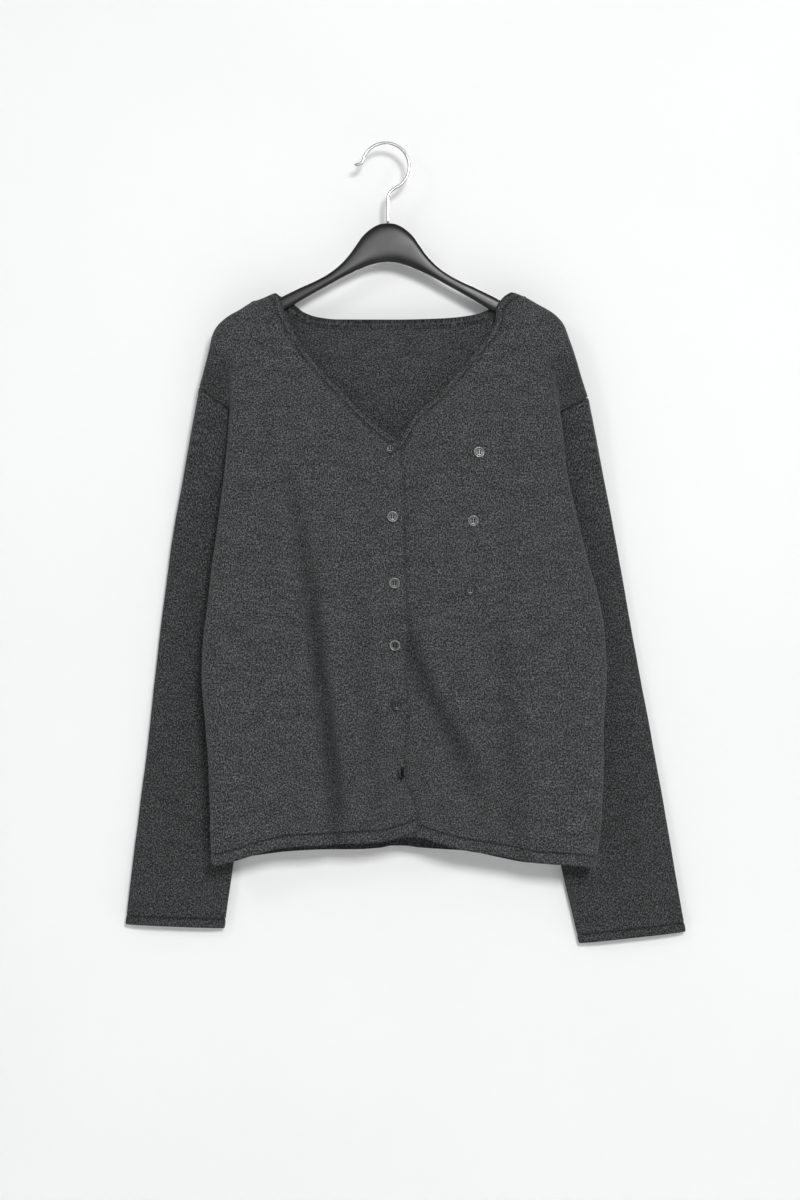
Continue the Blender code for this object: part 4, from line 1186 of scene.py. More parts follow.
def painted(name, low, high, see_through=False):
    """Matt wall paint, faintly uneven; seen from behind it isn't there."""
    g = Graph(name)
    roller = g.noise(g.place(), 420.0, 3.0, 0.6)
    broad = g.noise(g.place(), 2.2, 2.0, 0.5)
    g.put(g.shader.inputs["Base Color"], g.ramp(broad, [(0.3, low), (0.7, high)]))
    g.put(g.shader.inputs["Roughness"], g.grade(roller, 0.3, 0.7, 0.8, 0.95))
    g.shader.inputs["Specular IOR Level"].default_value = 0.2
    g.put(g.shader.inputs["Normal"], g.bump(roller, 0.0003, 0.15))
    if see_through:
        out = g.tree.nodes["Material Output"]
        clear = g.node("ShaderNodeBsdfTransparent")
        both = g.node("ShaderNodeMixShader")
        side = g.node("ShaderNodeNewGeometry")
        g.put(both.inputs[0], side.outputs["Backfacing"])
        g.put(both.inputs[1], g.shader.outputs[0])
        g.put(both.inputs[2], clear.outputs[0])
        g.put(out.inputs["Surface"], both.outputs[0])
    return g.mat


KNIT = knit("melange_knit", tone=0.90)
# the sleeves take a darker copy of the knit: painted shade for cloth that hangs back behind the body
SLEEVE_KNIT_SHADED = knit("melange_knit_sleeve", tone=0.72)
RIB = knit("melange_band", tone=0.88, course=0.85, wale=1.0)
# a darker copy of the knit for the back's inside: painted shade
INSIDE_KNIT_SHADED = knit("melange_knit_inside", tone=0.80)
SEWING = thread_stuff()
RESIN = {"pale": resin("smoked_resin", 0.5, 0.1), "dark": resin("dark_resin", 0.08, 0.1)}
# the rims are a paler resin than the dish: a painted highlight on the polished rim
RIM_HIGHLIGHT = {"pale": resin("polished_rim", 2.8, 1.0), "dark": resin("dark_rim", 0.2, 0.15)}
MOULDED = moulded()
PLATED = plated()


# ----------------------------------------------------------------- the two fronts
def front_shell(side):
    top = TOP_LEVEL[side]
    levels = np.concatenate([
        np.linspace(-740, -712, 17)[:-1],
        np.linspace(-712, -300, 62)[:-1],
        np.linspace(-300, -246, 26)[:-1],
        np.linspace(-246, top, 30),
    ])
    columns = np.concatenate([np.linspace(0, 0.62, 27)[:-1], np.linspace(0.62, 1.0, 28)])
    grid = np.array([[front_point(side, s, z) for s in columns] for z in levels], float)
    rest = np.array([[z] * len(columns) for z in levels])[..., None]
    grid = refined(refined(grid, 2, 0), 2, 1)
    rest = refined(refined(rest, 2, 0), 2, 1)[..., 0]
    out = -1.0 if side == "right" else 1.0
    n = facing_of(grid) * out
    x, z = grid[..., 0], grid[..., 2]
    hem = np.vectorize(hem_of[side])(x)
    above = z - hem
    swell = handled(x, z, 2 if side == "right" else 5)
    # quieter beside the seams and at the shoulder
    quiet = np.clip((-z - 180) / 120, 0.15, 1.0)
    move = swell * quiet
    move = move * np.clip(above / 30, 0.25, 1.0) + hemmed(above, HEM_DEPTH)
    # the front edge is turned and pressed, with a soft round edge
    columns_fine = np.linspace(0, 1, grid.shape[1])[None, :]
    edge = np.abs(x - x[:, :1])
    if side == "right":
        move -= 0.5 * bell(edge, 0.0, 1.6)
    end = np.linalg.norm(grid - grid[:, -1:, :], axis=2)
    shown = (rest > -300) & (rest < TIP[side][0] + 1)
    # the armhole seam: a groove at the seam and a puff beside it
    move = move * np.clip(end / 6, 0, 1)
    move += np.where(shown, 0.45 * bell(end, 3.4, 2.2) - 0.5 * bell(end, 0.0, 1.2), 0.0)
    grid = grid + n * move[..., None]
    # darkening of the colour at the hem and the armhole seam: partly pressed nap and stitching, partly painted shade in
    # their grooves
    dark = 0.75 * bell(above, HEM_DEPTH, 1.0) + 0.5 * bell(above, 0.0, 1.2)
    dark = np.maximum(dark, np.where(shown, 0.6 * bell(end, 0.0, 1.4), 0.0))
    # painted shade in the troughs of the main folds
    folds = np.array([[fold_shade(side, a, b) for a, b in zip(p, q)] for p, q in zip(x[::2, ::2], z[::2, ::2])])
    folds = refined(refined(folds[..., None], 2, 0), 2, 1)[..., 0]
    dark = np.maximum(dark, 0.60 * folds[: dark.shape[0], : dark.shape[1]])
    # painted shade where the cloth drops back behind the chest's step onto the dropped shoulder
    chest_at = np.array([chest_y(q) for q in z.mean(1)])[:, None]
    drop = np.clip((grid[..., 1] - chest_at - 2.0) / 6.0, 0, 1)
    beyond = np.clip((-z - 190) / 30, 0, 1) * np.clip(np.linspace(0, 1, grid.shape[1])[None, :] * 4 - 2.2, 0, 1)
    dark = np.maximum(dark, 0.42 * drop * beyond)
    # a painted shade line along the top front's edge
    if side == "right":
        dark = np.maximum(dark, np.where(rest < -330, 0.45 * bell(edge, 0.0, 0.9), 0.0))
    return shell(
        f"front_{side}", grid, out, KNIT, CLOTH, node=f"front_{side}", crease=dark,
        uv=unrolled(grid, upright=True),
    )


fronts = {side: front_shell(side) for side in SIGN}


# ---------------------------------------------------------------------- the back
def back_shell():
    levels = np.concatenate([
        np.linspace(-740, -712, 17)[:-1],
        np.linspace(-712, -430, 44)[:-1],
        np.linspace(-430, -232, 44)[:-1],
        np.linspace(-232, 0, 34),
    ])
    columns = np.concatenate([
        np.linspace(0, 0.06, 9)[:-1], np.linspace(0.06, 0.94, 66)[:-1], np.linspace(0.94, 1, 9)
    ])
    grid = np.array([[back_point(u, z) for u in columns] for z in levels], float)
    grid = refined(refined(grid, 2, 0), 2, 1)
    n = -facing_of(grid)
    n = np.where(n[..., 1:2] < 0, -n, n)
    x, z = grid[..., 0], grid[..., 2]
    hem = np.vectorize(hem_of["back"])(x)
    above = z - hem
    move = handled(x, z, 11) * np.clip((-z - 180) / 120, 0.15, 1.0)
    move = move * np.clip(above / 30, 0.25, 1.0) + hemmed(above, HEM_DEPTH)
    cut = np.minimum(
        np.linalg.norm(grid - grid[:, :1, :], axis=2),
        np.linalg.norm(grid - grid[:, -1:, :], axis=2),
    )
    move = move * np.clip(cut / 6, 0, 1)
    grid = grid + n * move[..., None]
    # darkening at the hem and along the back's cut edges: partly pressed nap and stitching, partly painted shade in
    # their grooves
    dark = 0.75 * bell(above, HEM_DEPTH, 1.0) + 0.5 * bell(above, 0.0, 1.2)
    dark = np.maximum(dark, 0.8 * bell(cut, 0.0, 1.3))
    ob = shell("back", grid, -1.0, KNIT, CLOTH, node="back", crease=dark, uv=unrolled(grid, upright=True))
    # the inside of the back shows in the neck, given a darker copy of the knit as painted shade
    ob.data.materials.append(INSIDE_KNIT_SHADED)
    ob.modifiers["wall"].material_offset = 1
    return ob


back = back_shell()


# -------------------------------------------------------------------- the sleeves
sleeve_curves = []
for side, name in sorted({(r[0], r[1]) for r in SLEEVE_FOLDS}):
    rows = [r[2:] for r in SLEEVE_FOLDS if r[0] == side and r[1] == name]
    sleeve_curves.append(
        (side, rows[0][4], track(rows, 1), track(rows, 2), track(rows, 3))
    )


def sleeve_shell(side):
    steps = np.concatenate([np.linspace(0, 1, 30)[:-1], np.linspace(1, 1.92, 56)[:-1], np.linspace(1.92, 2, 12)])
    turns = [k / 56 for k in range(56)]
    grid = np.array([[sleeve_point(side, t, v) for t in turns] for v in steps], float)
    turn = np.array([[t for t in turns] for _ in steps])[..., None]
    grid = refined(refined(grid, 2, 0), 2, 1, closed=True)
    out = -1.0 if side == "right" else 1.0
    n = facing_of(grid, closed=True) * out
    x, z = grid[..., 0], grid[..., 2]
    angle = 2 * np.pi * np.arange(grid.shape[1]) / grid.shape[1]
    across = 0.5 - 0.5 * np.cos(angle)[None, :]  # 0 outer edge, 1 inner edge
    front = (np.sin(angle) > 0)[None, :]
    low = SLEEVES[side][-1][0]
    v = np.linspace(0, 1, grid.shape[0])[:, None]
    move = 0.8 * handled(x, z, 21 if side == "right" else 27)
    wide = np.abs(np.ptp(x, axis=1))[:, None]
    for where, face, at, width, depth in sleeve_curves:
        if where != side:
            continue
        zz = z[:, 0]
        a = np.array([at(q) for q in zz])[:, None]
        w = np.array([width(q) for q in zz])[:, None]
        d = np.array([depth(q) for q in zz])[:, None]
        hit = front if face > 0 else ~front
        move -= np.where(hit, d * bell((across - a) * wide, 0.0, w), 0.0)
    foot = grid[-1:, :, 2]
    above = z - foot
    move = move * np.clip(above / 30, 0.3, 1.0) + hemmed(above, CUFF_DEPTH)
    head = np.linalg.norm(grid - grid[:1], axis=2)
    move = move * np.clip(head / 10, 0.0, 1.0) - 0.5 * bell(head, 0.0, 1.6) + 0.3 * bell(head, 4.0, 2.5)
    grid = grid + n * move[..., None]
    # darkening at the cuff hem and the sleeve head's seam: partly pressed nap and stitching, partly painted shade in
    # their grooves
    dark = 0.75 * bell(above, CUFF_DEPTH, 1.0) + 0.5 * bell(above, 0.0, 1.2)
    dark = np.maximum(dark, 0.55 * bell(head, 0.0, 1.4))
    return shell(
        f"sleeve_{side}", grid, out, SLEEVE_KNIT_SHADED, 1.5, closed=True, node=f"sleeve_{side}", crease=dark
    )


sleeves = {side: sleeve_shell(side) for side in SIGN}


# ------------------------------------------------------------------ the neck band
def band_form(t):
    """The band across its width: full in the middle, pinched at the stitches."""
    full = 0.7 * math.sin(math.pi * min(max(t, 0), 1)) ** 0.5 - 3.0 * max(t - 1.0, 0.0)
    return full - 0.65 * (
        math.exp(-(((t - 0.18) / 0.07) ** 2)) + math.exp(-(((t - 0.84) / 0.07) ** 2))
    )


def band_dark(t):
    """How dark each line across the band is painted: the stitch lines partly as pressed nap and partly as painted shade
    in their grooves, and painted shade along both edges.
    """
    return 0.52 * (
        math.exp(-(((t - 0.18) / 0.075) ** 2)) + math.exp(-(((t - 0.84) / 0.075) ** 2))
    ) + 0.40 * math.exp(-(((t - 1.0) / 0.06) ** 2)) + 0.6 * math.exp(-((t / 0.06) ** 2))


ACROSS = [
    0.0, 0.03, 0.07, 0.11, 0.145, 0.18, 0.215, 0.25, 0.3, 0.37, 0.45, 0.53, 0.6, 0.67, 0.73,
    0.77, 0.805, 0.84, 0.875, 0.91, 0.95, 1.0, 1.06, 1.14,
]


def front_band_shell(side):
    edge, line = V_LINE[side], BAND_INSIDE[side]
    low = -325.5 if side == "right" else -356.5
    foot = front_edge(low) - (OVERLAP if side == "left" else 0.0)
    tip = (11.0, -312.3) if side == "right" else (foot, -343.0)
    ends = np.array([tip, (foot, low)])
    rows = [[ends[0] + (ends[1] - ends[0]) * t for t in ACROSS]]
    for k in range(len(line) - 1, -1, -1):
        x, height = edge[k]
        if line[k, 1] > low + 3 and tip[1] + 1.5 < height < shoulder(x) - 0.6:
            rows.append([edge[k] + (line[k] - edge[k]) * t for t in ACROSS])
    top = []
    for t in ACROSS:
        path = edge + (line - edge) * t
        k = next(i for i, (x, z) in enumerate(path) if z < shoulder(x))
        top.append(path[k])
    rows.append(top)
    grid = []
    for row in rows:
        line_ = []
        for (x, z), t in zip(row, ACROSS):
            o = SIGN[side] * x
            y = front_plain(side, o, z) if z > -240 else chest(side, o, z)
            line_.append((x, y - BAND_LIFT - band_form(t), z))
        grid.append(line_)
    grid = np.array(grid, float)
    out = -1.0 if side == "right" else 1.0
    # flip so that the shell's normal points to the front
    n = facing_of(grid)
    out = 1.0 if n[..., 1].mean() < 0 else -1.0
    uv = unrolled(grid)[..., ::-1]
    dark = np.array([[band_dark(t) for t in ACROSS] for _ in grid])
    return shell(
        f"neck_band_{side}", grid, out, RIB, 1.9, node=f"neck_band_{side}", uv=uv, crease=dark
    )


bands = {side: front_band_shell(side) for side in SIGN}


def back_band_shell():
    rows = []
    for k in range(0, len(NECK_LINE)):
        row = [NECK_LINE[k] + (BACK_BAND_INSIDE[k] - NECK_LINE[k]) * t for t in ACROSS]
        if all(z < shoulder(x) - 0.5 for x, z in row):
            rows.append(row)
    grid = np.array(
        [[(x, back_plain(x, z) + BAND_LIFT + band_form(t), z) for (x, z), t in zip(row, ACROSS)] for row in rows],
        float,
    )
    n = facing_of(grid)
    out = 1.0 if n[..., 1].mean() > 0 else -1.0
    uv = unrolled(grid)[..., ::-1]
    dark = np.array([[band_dark(t) for t in ACROSS] for _ in grid])
    return shell(
        "neck_band_back", grid, out, RIB, 3.4, node="neck_band_back", uv=uv, crease=dark
    )


bands["back"] = back_band_shell()


# ---------------------------------------------------------------------- stitching
def seamed(path, name, front=True, lift=0.12, pitch=STITCH, share=0.68, thick=THREAD, turn=0.0):
    """Stitches along a path of (X, height) places on a shell: a list of bars."""
    bars = []
    path = np.array(path, float)
    run = np.concatenate([[0], np.cumsum(np.linalg.norm(np.diff(path, axis=0), axis=1))])
    count = int(run[-1] / pitch)
    for k in range(count):
        a, b = (k + 0.5 - share / 2) * pitch, (k + 0.5 + share / 2) * pitch
        ends = []
        for s in (a, b):
            x, z = np.interp(s, run, path[:, 0]), np.interp(s, run, path[:, 1])
            got = touch(name, x, z, front)
            if got is None:
                break
            ends.append(got)
        if len(ends) == 2 and np.linalg.norm(ends[0][0] - ends[1][0]) < pitch * 1.6:
            bars.append((ends[0][0], ends[1][0], ends[0][1], lift, thick))
    return bars


def sewn(name, bars):
    """All the stitches of a seam as one mesh of small rounded bars."""
    points, faces = [], []
    for a, b, n, lift, thick in bars:
        d = (b - a) / np.linalg.norm(b - a)
        s = np.cross(d, n)
        base = len(points)
        for t, high in ((0.0, -0.35), (0.22, 0.55), (0.5, 0.8), (0.78, 0.55), (1.0, -0.35)):
            c = a + (b - a) * t + n * (lift + high * thick)
            r = thick * (0.5 if 0 < t < 1 else 0.3)
            for q in range(6):
                ang = math.pi * 2 * q / 6
                points.append(tuple(c + (s * math.cos(ang) + n * math.sin(ang)) * r))
        for i in range(4):
            for q in range(6):
                w = (q + 1) % 6
                faces.append([base + i * 6 + q, base + i * 6 + w, base + i * 6 + 6 + w, base + i * 6 + 6 + q])
        faces.append([base + q for q in range(5, -1, -1)])
        faces.append([base + 24 + q for q in range(6)])
    return plain_mesh(name, points, faces, [SEWING])


def hem_path(panel, a, b, depth=HEM_DEPTH, margin=0.0):
    xs = np.linspace(a, b, 120)
    return [(x, hem_of[panel](x) + depth + margin) for x in xs]


bars = []
bars += seamed(hem_path("right", -176.0, 30.0), "front_right")
bars += seamed(hem_path("left", 34.0, 206.0), "front_left")
bars += seamed(hem_path("back", -176.0, 206.0), "back", front=False)
hem_stitches = sewn("hem_stitches", bars)

bars = []
for side in SIGN:
    rows = SLEEVES[side]
    low = rows[-1][0]
    outer, inner, slant = rows[-1][1], rows[-1][2], rows[-1][5]
    c, a = (outer + inner) / 2, (outer - inner) / 2
    path = [
        (SIGN[side] * (c + a * t), low + slant * a * t + CUFF_DEPTH) for t in np.linspace(-0.985, 0.985, 60)
    ]
    bars += seamed(path, f"sleeve_{side}", True)
    bars += seamed(path, f"sleeve_{side}", False)
cuff_stitches = sewn("cuff_stitches", bars)

bars = []
for side in SIGN:
    for t in (0.18, 0.84):
        path = V_LINE[side] + (BAND_INSIDE[side] - V_LINE[side]) * t
        path = [p for p in path if p[1] < shoulder(p[0]) - 1.5]
        if side == "right":
            path = [p for p in path if p[0] < front_edge(p[1]) - 0.8]
        else:
            path = [p for p in path if p[0] > front_edge(p[1]) - OVERLAP + 0.8]
        bars += seamed(path, f"neck_band_{side}", lift=0.05, pitch=2.4, thick=0.36)
for t in (0.18, 0.84):
    path = NECK_LINE + (BACK_BAND_INSIDE - NECK_LINE) * t
    path = [p for p in path if p[1] < shoulder(p[0]) - 1.5]
    bars += seamed(path, "neck_band_back", False, lift=0.05, pitch=2.4, thick=0.36)
neck_stitches = sewn("neck_stitches", bars)


# ------------------------------------------------------------------------ buttons
def lathe_button():
    """A four-holed button: dished middle, raised polished rim."""
    r, t = BUTTON / 2, BUTTON_THICK
    profile = [
        (0.0, -0.52), (0.30, -0.52), (0.56, -0.52), (0.65, -0.54), (0.71, -0.64),
        (0.75, -0.82), (0.80, -0.96), (0.86, -1.0), (0.92, -0.97), (0.97, -0.84),
        (1.0, -0.66), (0.995, -0.5), (0.97, -0.36), (0.90, -0.22), (0.76, -0.08), (0.6, 0.0), (0.0, 0.0),
    ]
    steps = 48
    points = [(0.0, profile[0][1] * t, 0.0)]
    for rad, y in profile[1:-1]:
        for k in range(steps):
            a = 2 * math.pi * k / steps
            points.append((rad * r * math.cos(a), y * t, rad * r * math.sin(a)))
    points.append((0.0, profile[-1][1] * t, 0.0))
    faces = []
    rings = len(profile) - 2
    for k in range(steps):
        j = (k + 1) % steps
        faces.append([0, 1 + k, 1 + j])
        for i in range(rings - 1):
            a, b = 1 + i * steps, 1 + (i + 1) * steps
            faces.append([a + k, b + k, b + j, a + j])
        a = 1 + (rings - 1) * steps
        faces.append([a + k, len(points) - 1, a + j])
    me = bpy.data.meshes.new("button_blank")
    me.from_pydata([tuple(c * MM for c in p) for p in points], [], faces)
    me.update()
    ob = bpy.data.objects.new("button_blank", me)
    bpy.context.scene.collection.objects.link(ob)
    cutters = []
    for sx in (-1, 1):
        for sz in (-1, 1):
            cut = bpy.data.meshes.new("hole")
            ring, fs = [], []
            for y in (-4.0, 4.0):
                for k in range(14):
                    a = 2 * math.pi * k / 14
                    ring.append(((sx * 1.30 + 0.86 * math.cos(a)) * MM, y * MM, (sz * 1.30 + 0.86 * math.sin(a)) * MM))
            for k in range(14):
                j = (k + 1) % 14
                fs.append([k, j, 14 + j, 14 + k])
            fs.append(list(range(13, -1, -1)))
            fs.append([14 + k for k in range(14)])
            cut.from_pydata(ring, [], fs)
            cut.update()
            c = bpy.data.objects.new("hole", cut)
            bpy.context.scene.collection.objects.link(c)
            mod = ob.modifiers.new("hole", "BOOLEAN")
            mod.object = c
            mod.operation = "DIFFERENCE"
            mod.solver = "EXACT"
            cutters.append(c)
    bpy.context.view_layer.update()
    done = bpy.data.meshes.new_from_object(ob.evaluated_get(bpy.context.evaluated_depsgraph_get()))
    for c in [*cutters, ob]:
        bpy.data.objects.remove(c, do_unlink=True)
    # two strands of thread down each pair of holes, drawn in a little
    points, faces = [], []
    for sx in (-1, 1):
        for strand in (-0.22, 0.22):
            base = len(points)
            for z, y in ((-1.3, 0.4), (-1.28, -1.35), (-0.9, -1.66), (0.0, -1.74), (0.9, -1.66), (1.28, -1.35), (1.3, 0.4)):
                for q in range(6):
                    a = math.pi * 2 * q / 6
                    flat = abs(z) < 1.0
                    dx = 0.24 * math.cos(a)
                    dy = 0.24 * math.sin(a) if flat else 0.0
                    dz = 0.0 if flat else 0.24 * math.sin(a) * (1 if z < 0 else -1)
                    points.append(((sx * 1.30 + strand + dx) * MM, (y + dy) * MM, (z + dz) * MM))
            for i in range(6):
                for q in range(6):
                    w = (q + 1) % 6
                    faces.append([base + i * 6 + q, base + i * 6 + 6 + q, base + i * 6 + 6 + w, base + i * 6 + w])
    # the four holes, filled with thread
    for sx in (-1, 1):
        for sz in (-1, 1):
            base = len(points)
            for rad, y in ((1.0, -0.50 * t), (0.96, -0.56 * t), (0.62, -0.60 * t), (0.0, -0.61 * t)):
                for q in range(12):
                    a = math.pi * 2 * q / 12
                    points.append(((sx * 1.32 + rad * math.cos(a)) * MM, y * MM, (sz * 1.32 + rad * math.sin(a)) * MM))
            for i in range(3):
                for q in range(12):
                    w = (q + 1) % 12
                    faces.append([base + i * 12 + q, base + i * 12 + 12 + q, base + i * 12 + 12 + w, base + i * 12 + w])
    strands = bpy.data.meshes.new("button_thread")
    strands.from_pydata(points, [], faces)
    strands.update()
    verts = [tuple(v.co) for v in done.vertices] + [tuple(v.co) for v in strands.vertices]
    n = len(done.vertices)
    polys = [tuple(p.vertices) for p in done.polygons] + [tuple(i + n for i in p.vertices) for p in strands.polygons]
    # the rim's faces take the paler rim resin, a painted highlight
    marks = [
        2 if math.hypot(p.center[0], p.center[2]) > 0.72 * r * MM and p.normal[1] < 0.6 else 0
        for p in done.polygons
    ] + [1] * len(strands.polygons)
    both = bpy.data.meshes.new("button_whole")
    both.from_pydata(verts, [], polys)
    both.materials.append(RESIN["pale"])
    both.materials.append(SEWING)
    both.materials.append(RIM_HIGHLIGHT["pale"])
    both.polygons.foreach_set("material_index", marks)
    both.update()
    both.shade_smooth()
    both.set_sharp_from_angle(angle=math.radians(38))
    return both


blank = lathe_button()
for name, x, z, turn in BUTTONS:
    side = "left" if "deco" in name else "right"
    a = math.radians(turn)
    reach = 4.6 * math.cos(a)
    spots = [
        (i * reach, j * 4.6) for i, j in ((0, 0), (1, 0), (-1, 0), (0, 1), (0, -1), (0.7, 0.7), (-0.7, 0.7), (0.7, -0.7), (-0.7, -0.7))
    ]
    found = [
        (dx, dz, got[0][1])
        for dx, dz in spots
        for shell_name in (f"front_{side}", "front_left", "neck_band_right")
        for got in [touch(shell_name, x + dx, z + dz)]
        if got is not None and (shell_name != "front_left" or side == "left")
    ]
    high = [y for dx, dz, y in found if dz > 1]
    low_ = [y for dx, dz, y in found if dz < -1]
    lean = math.atan2(float(np.mean(high) - np.mean(low_)), 7.6) if high and low_ else 0.0
    y = min(y for _, _, y in found)
    stand = 0.35 + abs(math.sin(a)) * BUTTON / 2
    me = blank.copy()
    if name in ("button_1", "button_5", "button_6", "button_deco_3"):
        me.materials[0] = RESIN["dark"]
        me.materials[2] = RIM_HIGHLIGHT["dark"]
    place = (
        Matrix.Translation((x * MM, (y - stand) * MM, z * MM))
        @ Matrix.Rotation(a, 4, "Z")
        @ Matrix.Rotation(-lean * 0.5, 4, "X")
    )
    me.transform(place)
    ob = bpy.data.objects.new(name + "_fine", me)
    bpy.context.scene.collection.objects.link(ob)
    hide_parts(name)
    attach(ob, "root")

# the buttonholes, worked upright in the top front, a button at each one's top
bars = []
for name, x, z, turn in BUTTONS:
    if "deco" in name:
        continue
    for k in range(16):
        for s in (-1, 1):
            zz = z + 4.5 - k * 0.85
            got = touch("front_right", x + s * 0.95, zz)
            back_ = touch("front_right", x + s * 0.15, zz)
            if got and back_ and x + 1.5 < front_edge(zz):
                bars.append((back_[0], got[0], got[1], 0.08, 0.5))
buttonholes = sewn("buttonholes", bars)


# ------------------------------------------------------------------------- hanger
def hanger_fine():
    top, bottom = track(HANGER, 1), track(HANGER, 2)
    outs = np.concatenate([np.linspace(0, 60, 61)[:-1], np.linspace(60, 178, 80)])
    xs = np.concatenate([-outs[:0:-1], outs])
    points, faces = [], []
    # a rounded section with a flat face
    shape = []
    for k in range(36):
        shape.append(2 * math.pi * k / 36)
    for x in xs:
        o = abs(x)
        t, b = top(o), bottom(o)
        h = HANGER_HALF - 0.05
        if o > 170:
            h = mix(h, 3.3, (o - 170) / 8)
        mid, tall = (t + b) / 2, (t - b) / 2 - 0.05
        r = min(3.0, tall * 0.45)
        for a in shape:
            cy, cz = math.cos(a), math.sin(a)
            # a box with well rounded edges
            y = math.copysign(abs(cy) ** 0.52, cy) * h
            z = mid + math.copysign(abs(cz) ** 0.62, cz) * tall
            points.append((x, y, z))
    m = len(shape)
    for i in range(len(xs) - 1):
        for k in range(m):
            j = (k + 1) % m
            faces.append([i * m + k, i * m + j, i * m + m + j, i * m + m + k])
    faces.append(list(range(m - 1, -1, -1)))
    faces.append([(len(xs) - 1) * m + k for k in range(m)])
    faces = [f[::-1] for f in faces]
    return plain_mesh("hanger_body_fine", points, faces, [MOULDED], node="hanger_body")


hanger = hanger_fine()


def hook_fine():
    cx, cz = HOOK_CENTRE
    path = [(0.0, -82.6), (0.0, -76.0), (0.0, -70.0), (0.0, -64.0), (0.0, -60.0), (0.2, -55.5), (2.2, -50.6), (6.6, -46.8)]
    for deg in range(-55, 166, 13):
        a = math.radians(deg)
        path.append((cx + HOOK_RADIUS * math.cos(a), cz + HOOK_RADIUS * math.sin(a)))
    path += [(-26.9, -18.8), (-30.2, -20.8), (-35.2, -21.4)]
    p = refined(np.array(path)[:, None, :], 4, 0)[:, 0, :]
    d = np.gradient(p, axis=0)
    d /= np.linalg.norm(d, axis=1, keepdims=True)
    sides = 20
    points, faces = [], []
    n = len(p)
    for i, ((x, z), (dx, dz)) in enumerate(zip(p, d)):
        r = WIRE / 2 * (1.0 if 0 < i < n - 2 else 0.86 if i == n - 2 else 0.5 if i == n - 1 else 1.0)
        for k in range(sides):
            a = 2 * math.pi * k / sides
            points.append((x - dz * r * math.cos(a), r * math.sin(a), z + dx * r * math.cos(a)))
    for i in range(n - 1):
        for k in range(sides):
            j = (k + 1) % sides
            a, b = i * sides, (i + 1) * sides
            faces.append([a + k, b + k, b + j, a + j])
    faces.append(list(range(sides)))
    faces.append([(n - 1) * sides + k for k in range(sides - 1, -1, -1)])
    return plain_mesh("hanger_hook_fine", points, faces, [PLATED], node="hanger_hook")


hook = hook_fine()

# ---------------------------------------------------------- seams at the shoulders
def shoulder_seam(side):
    """The ridge of the closed shoulder seam, from the neck to the drop."""
    n = SIGN[side]
    low, high = V_LINE[side], 0
    neck = min(abs(x) for (x, z) in V_LINE[side] if z < shoulder(x) - 0.4 and z > -200)
    near = [abs(x) for (x, z) in V_LINE[side] if shoulder(x) - 6 < z < shoulder(x)]
    start = (min(near) if near else neck) + 5.0
    outs = np.linspace(start, start + 40.0, 60)
    points, faces = [], []
    for i, o in enumerate(outs):
        z = shoulder(n * o)
        y = meet_y(z)
        fade = math.sin(math.pi * min(max((i + 1) / 61, 0.0), 1.0)) ** 0.35
        for q in range(12):
            a = 2 * math.pi * q / 12
            points.append((n * o, y + 2.4 * fade * math.cos(a), z - 1.0 + 1.5 * fade * math.sin(a)))
    for i in range(len(outs) - 1):
        for q in range(12):
            w = (q + 1) % 12
            f = [i * 12 + q, i * 12 + 12 + q, i * 12 + 12 + w, i * 12 + w]
            faces.append(f if n > 0 else f[::-1])
    faces.append(list(range(12)) if n > 0 else list(range(11, -1, -1)))
    last = (len(outs) - 1) * 12
    faces.append([last + q for q in range(11, -1, -1)] if n > 0 else [last + q for q in range(12)])
    ob = plain_mesh(f"shoulder_seam_{side}", points, faces, [KNIT])
    layer = ob.data.uv_layers.new(name="cloth")
    loops = np.empty(len(ob.data.loops), dtype=np.int32)
    ob.data.loops.foreach_get("vertex_index", loops)
    flat = np.array([[p[0] * MM, (k % 12) * 0.0009] for k, p in enumerate(points)])
    layer.data.foreach_set("uv", flat[loops].astype(np.float32).reshape(-1))
    return ob


for side in SIGN:
    shoulder_seam(side)

# --------------------------------------------------------------------- the stage
def stage_plane(name, corners, mat):
    me = bpy.data.meshes.new(name)
    me.from_pydata(corners, [], [(0, 1, 2, 3)])
    me.materials.append(mat)
    ob = bpy.data.objects.new(name, me)
    bpy.context.scene.collection.objects.link(ob)
    return ob


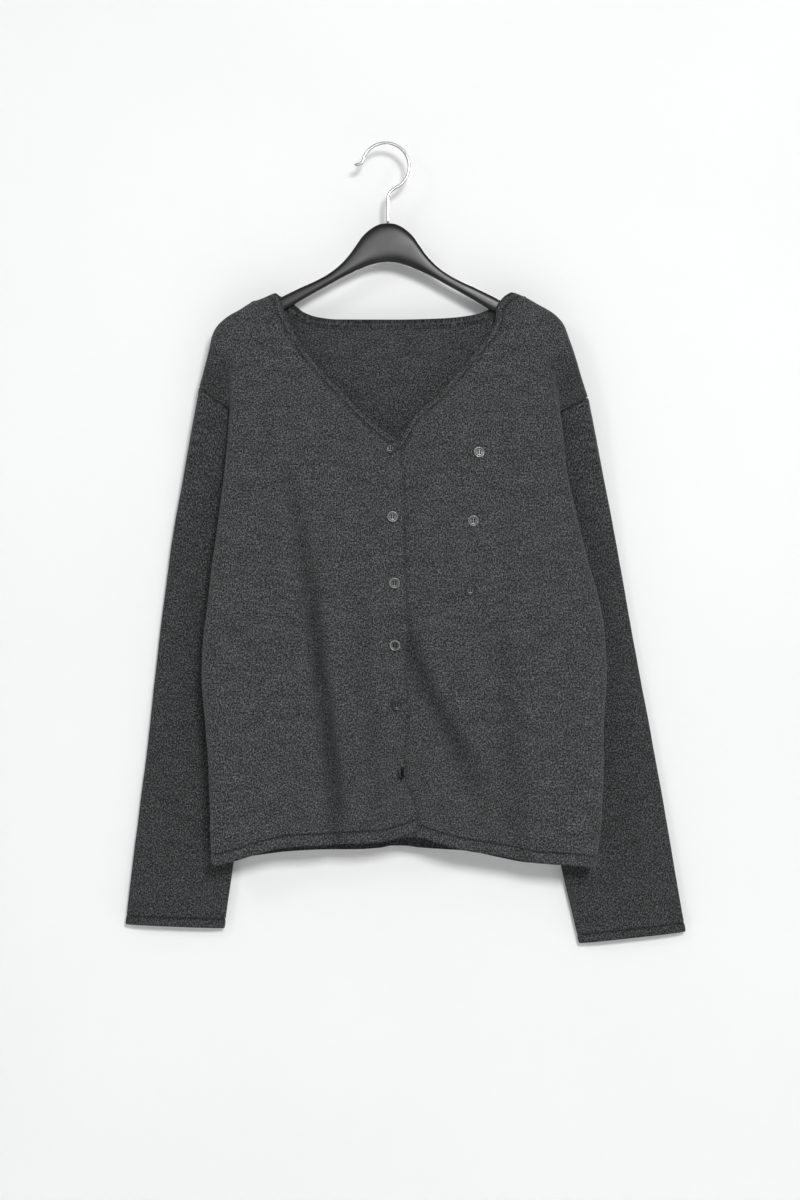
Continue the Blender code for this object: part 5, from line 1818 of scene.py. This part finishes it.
WALL_Y = 0.034
wall = stage_plane(
    "back_wall",
    [(-1.5, WALL_Y, -1.32), (1.5, WALL_Y, -1.32), (1.5, WALL_Y, 1.1), (-1.5, WALL_Y, 1.1)],
    painted("wall_paint", (0.90, 0.90, 0.90), (0.93, 0.93, 0.93), see_through=True),
)
floor = stage_plane(
    "pale_floor",
    [(-4, -4, -1.32), (4, -4, -1.32), (4, 4, -1.32), (-4, 4, -1.32)],
    painted("floor_paint", (0.72, 0.72, 0.72), (0.78, 0.78, 0.78)),
)


def area_light(name, where, target, size, power, colour=(1, 1, 1)):
    data = bpy.data.lights.new(name, "AREA")
    data.shape = "RECTANGLE"
    data.size, data.size_y = size
    data.energy = power
    data.color = colour
    ob = bpy.data.objects.new(name, data)
    ob.location = where
    ob.rotation_euler = (Vector(target) - Vector(where)).to_track_quat("-Z", "Y").to_euler()
    bpy.context.scene.collection.objects.link(ob)
    return ob


key = area_light("key", (0.5, -2.95, 0.38), (0, 0, -0.45), (0.55, 0.5), 57)
side = area_light("side", (-1.7, -2.3, 0.8), (0, 0, -0.4), (0.5, 0.5), 8)
rear = area_light("rear", (0.3, 2.6, 0.4), (0, 0, -0.45), (1.2, 1.0), 60)
spared = bpy.data.collections.new("rear_light_passes")
spared.objects.link(wall)
for item in spared.collection_objects:
    item.light_linking.link_state = "EXCLUDE"
rear.light_linking.blocker_collection = spared
rear.light_linking.receiver_collection = spared

world = bpy.data.worlds.new("studio")
world.use_nodes = True
world.node_tree.nodes["Background"].inputs[0].default_value = (0.97, 0.985, 1.0, 1.0)
world.node_tree.nodes["Background"].inputs[1].default_value = 0.30
bpy.context.scene.world = world
bpy.context.scene.view_settings.view_transform = "Standard"

data = bpy.data.cameras.new("camera")
data.lens = 68.57
data.sensor_width = 36.0
data.sensor_fit = "AUTO"
camera = bpy.data.objects.new("camera", data)
camera.location = (0.0129, -2.415, -0.4813)
camera.rotation_euler = (math.pi / 2, 0, 0)
bpy.context.scene.collection.objects.link(camera)
bpy.context.scene.camera = camera

bpy.context.view_layer.update()
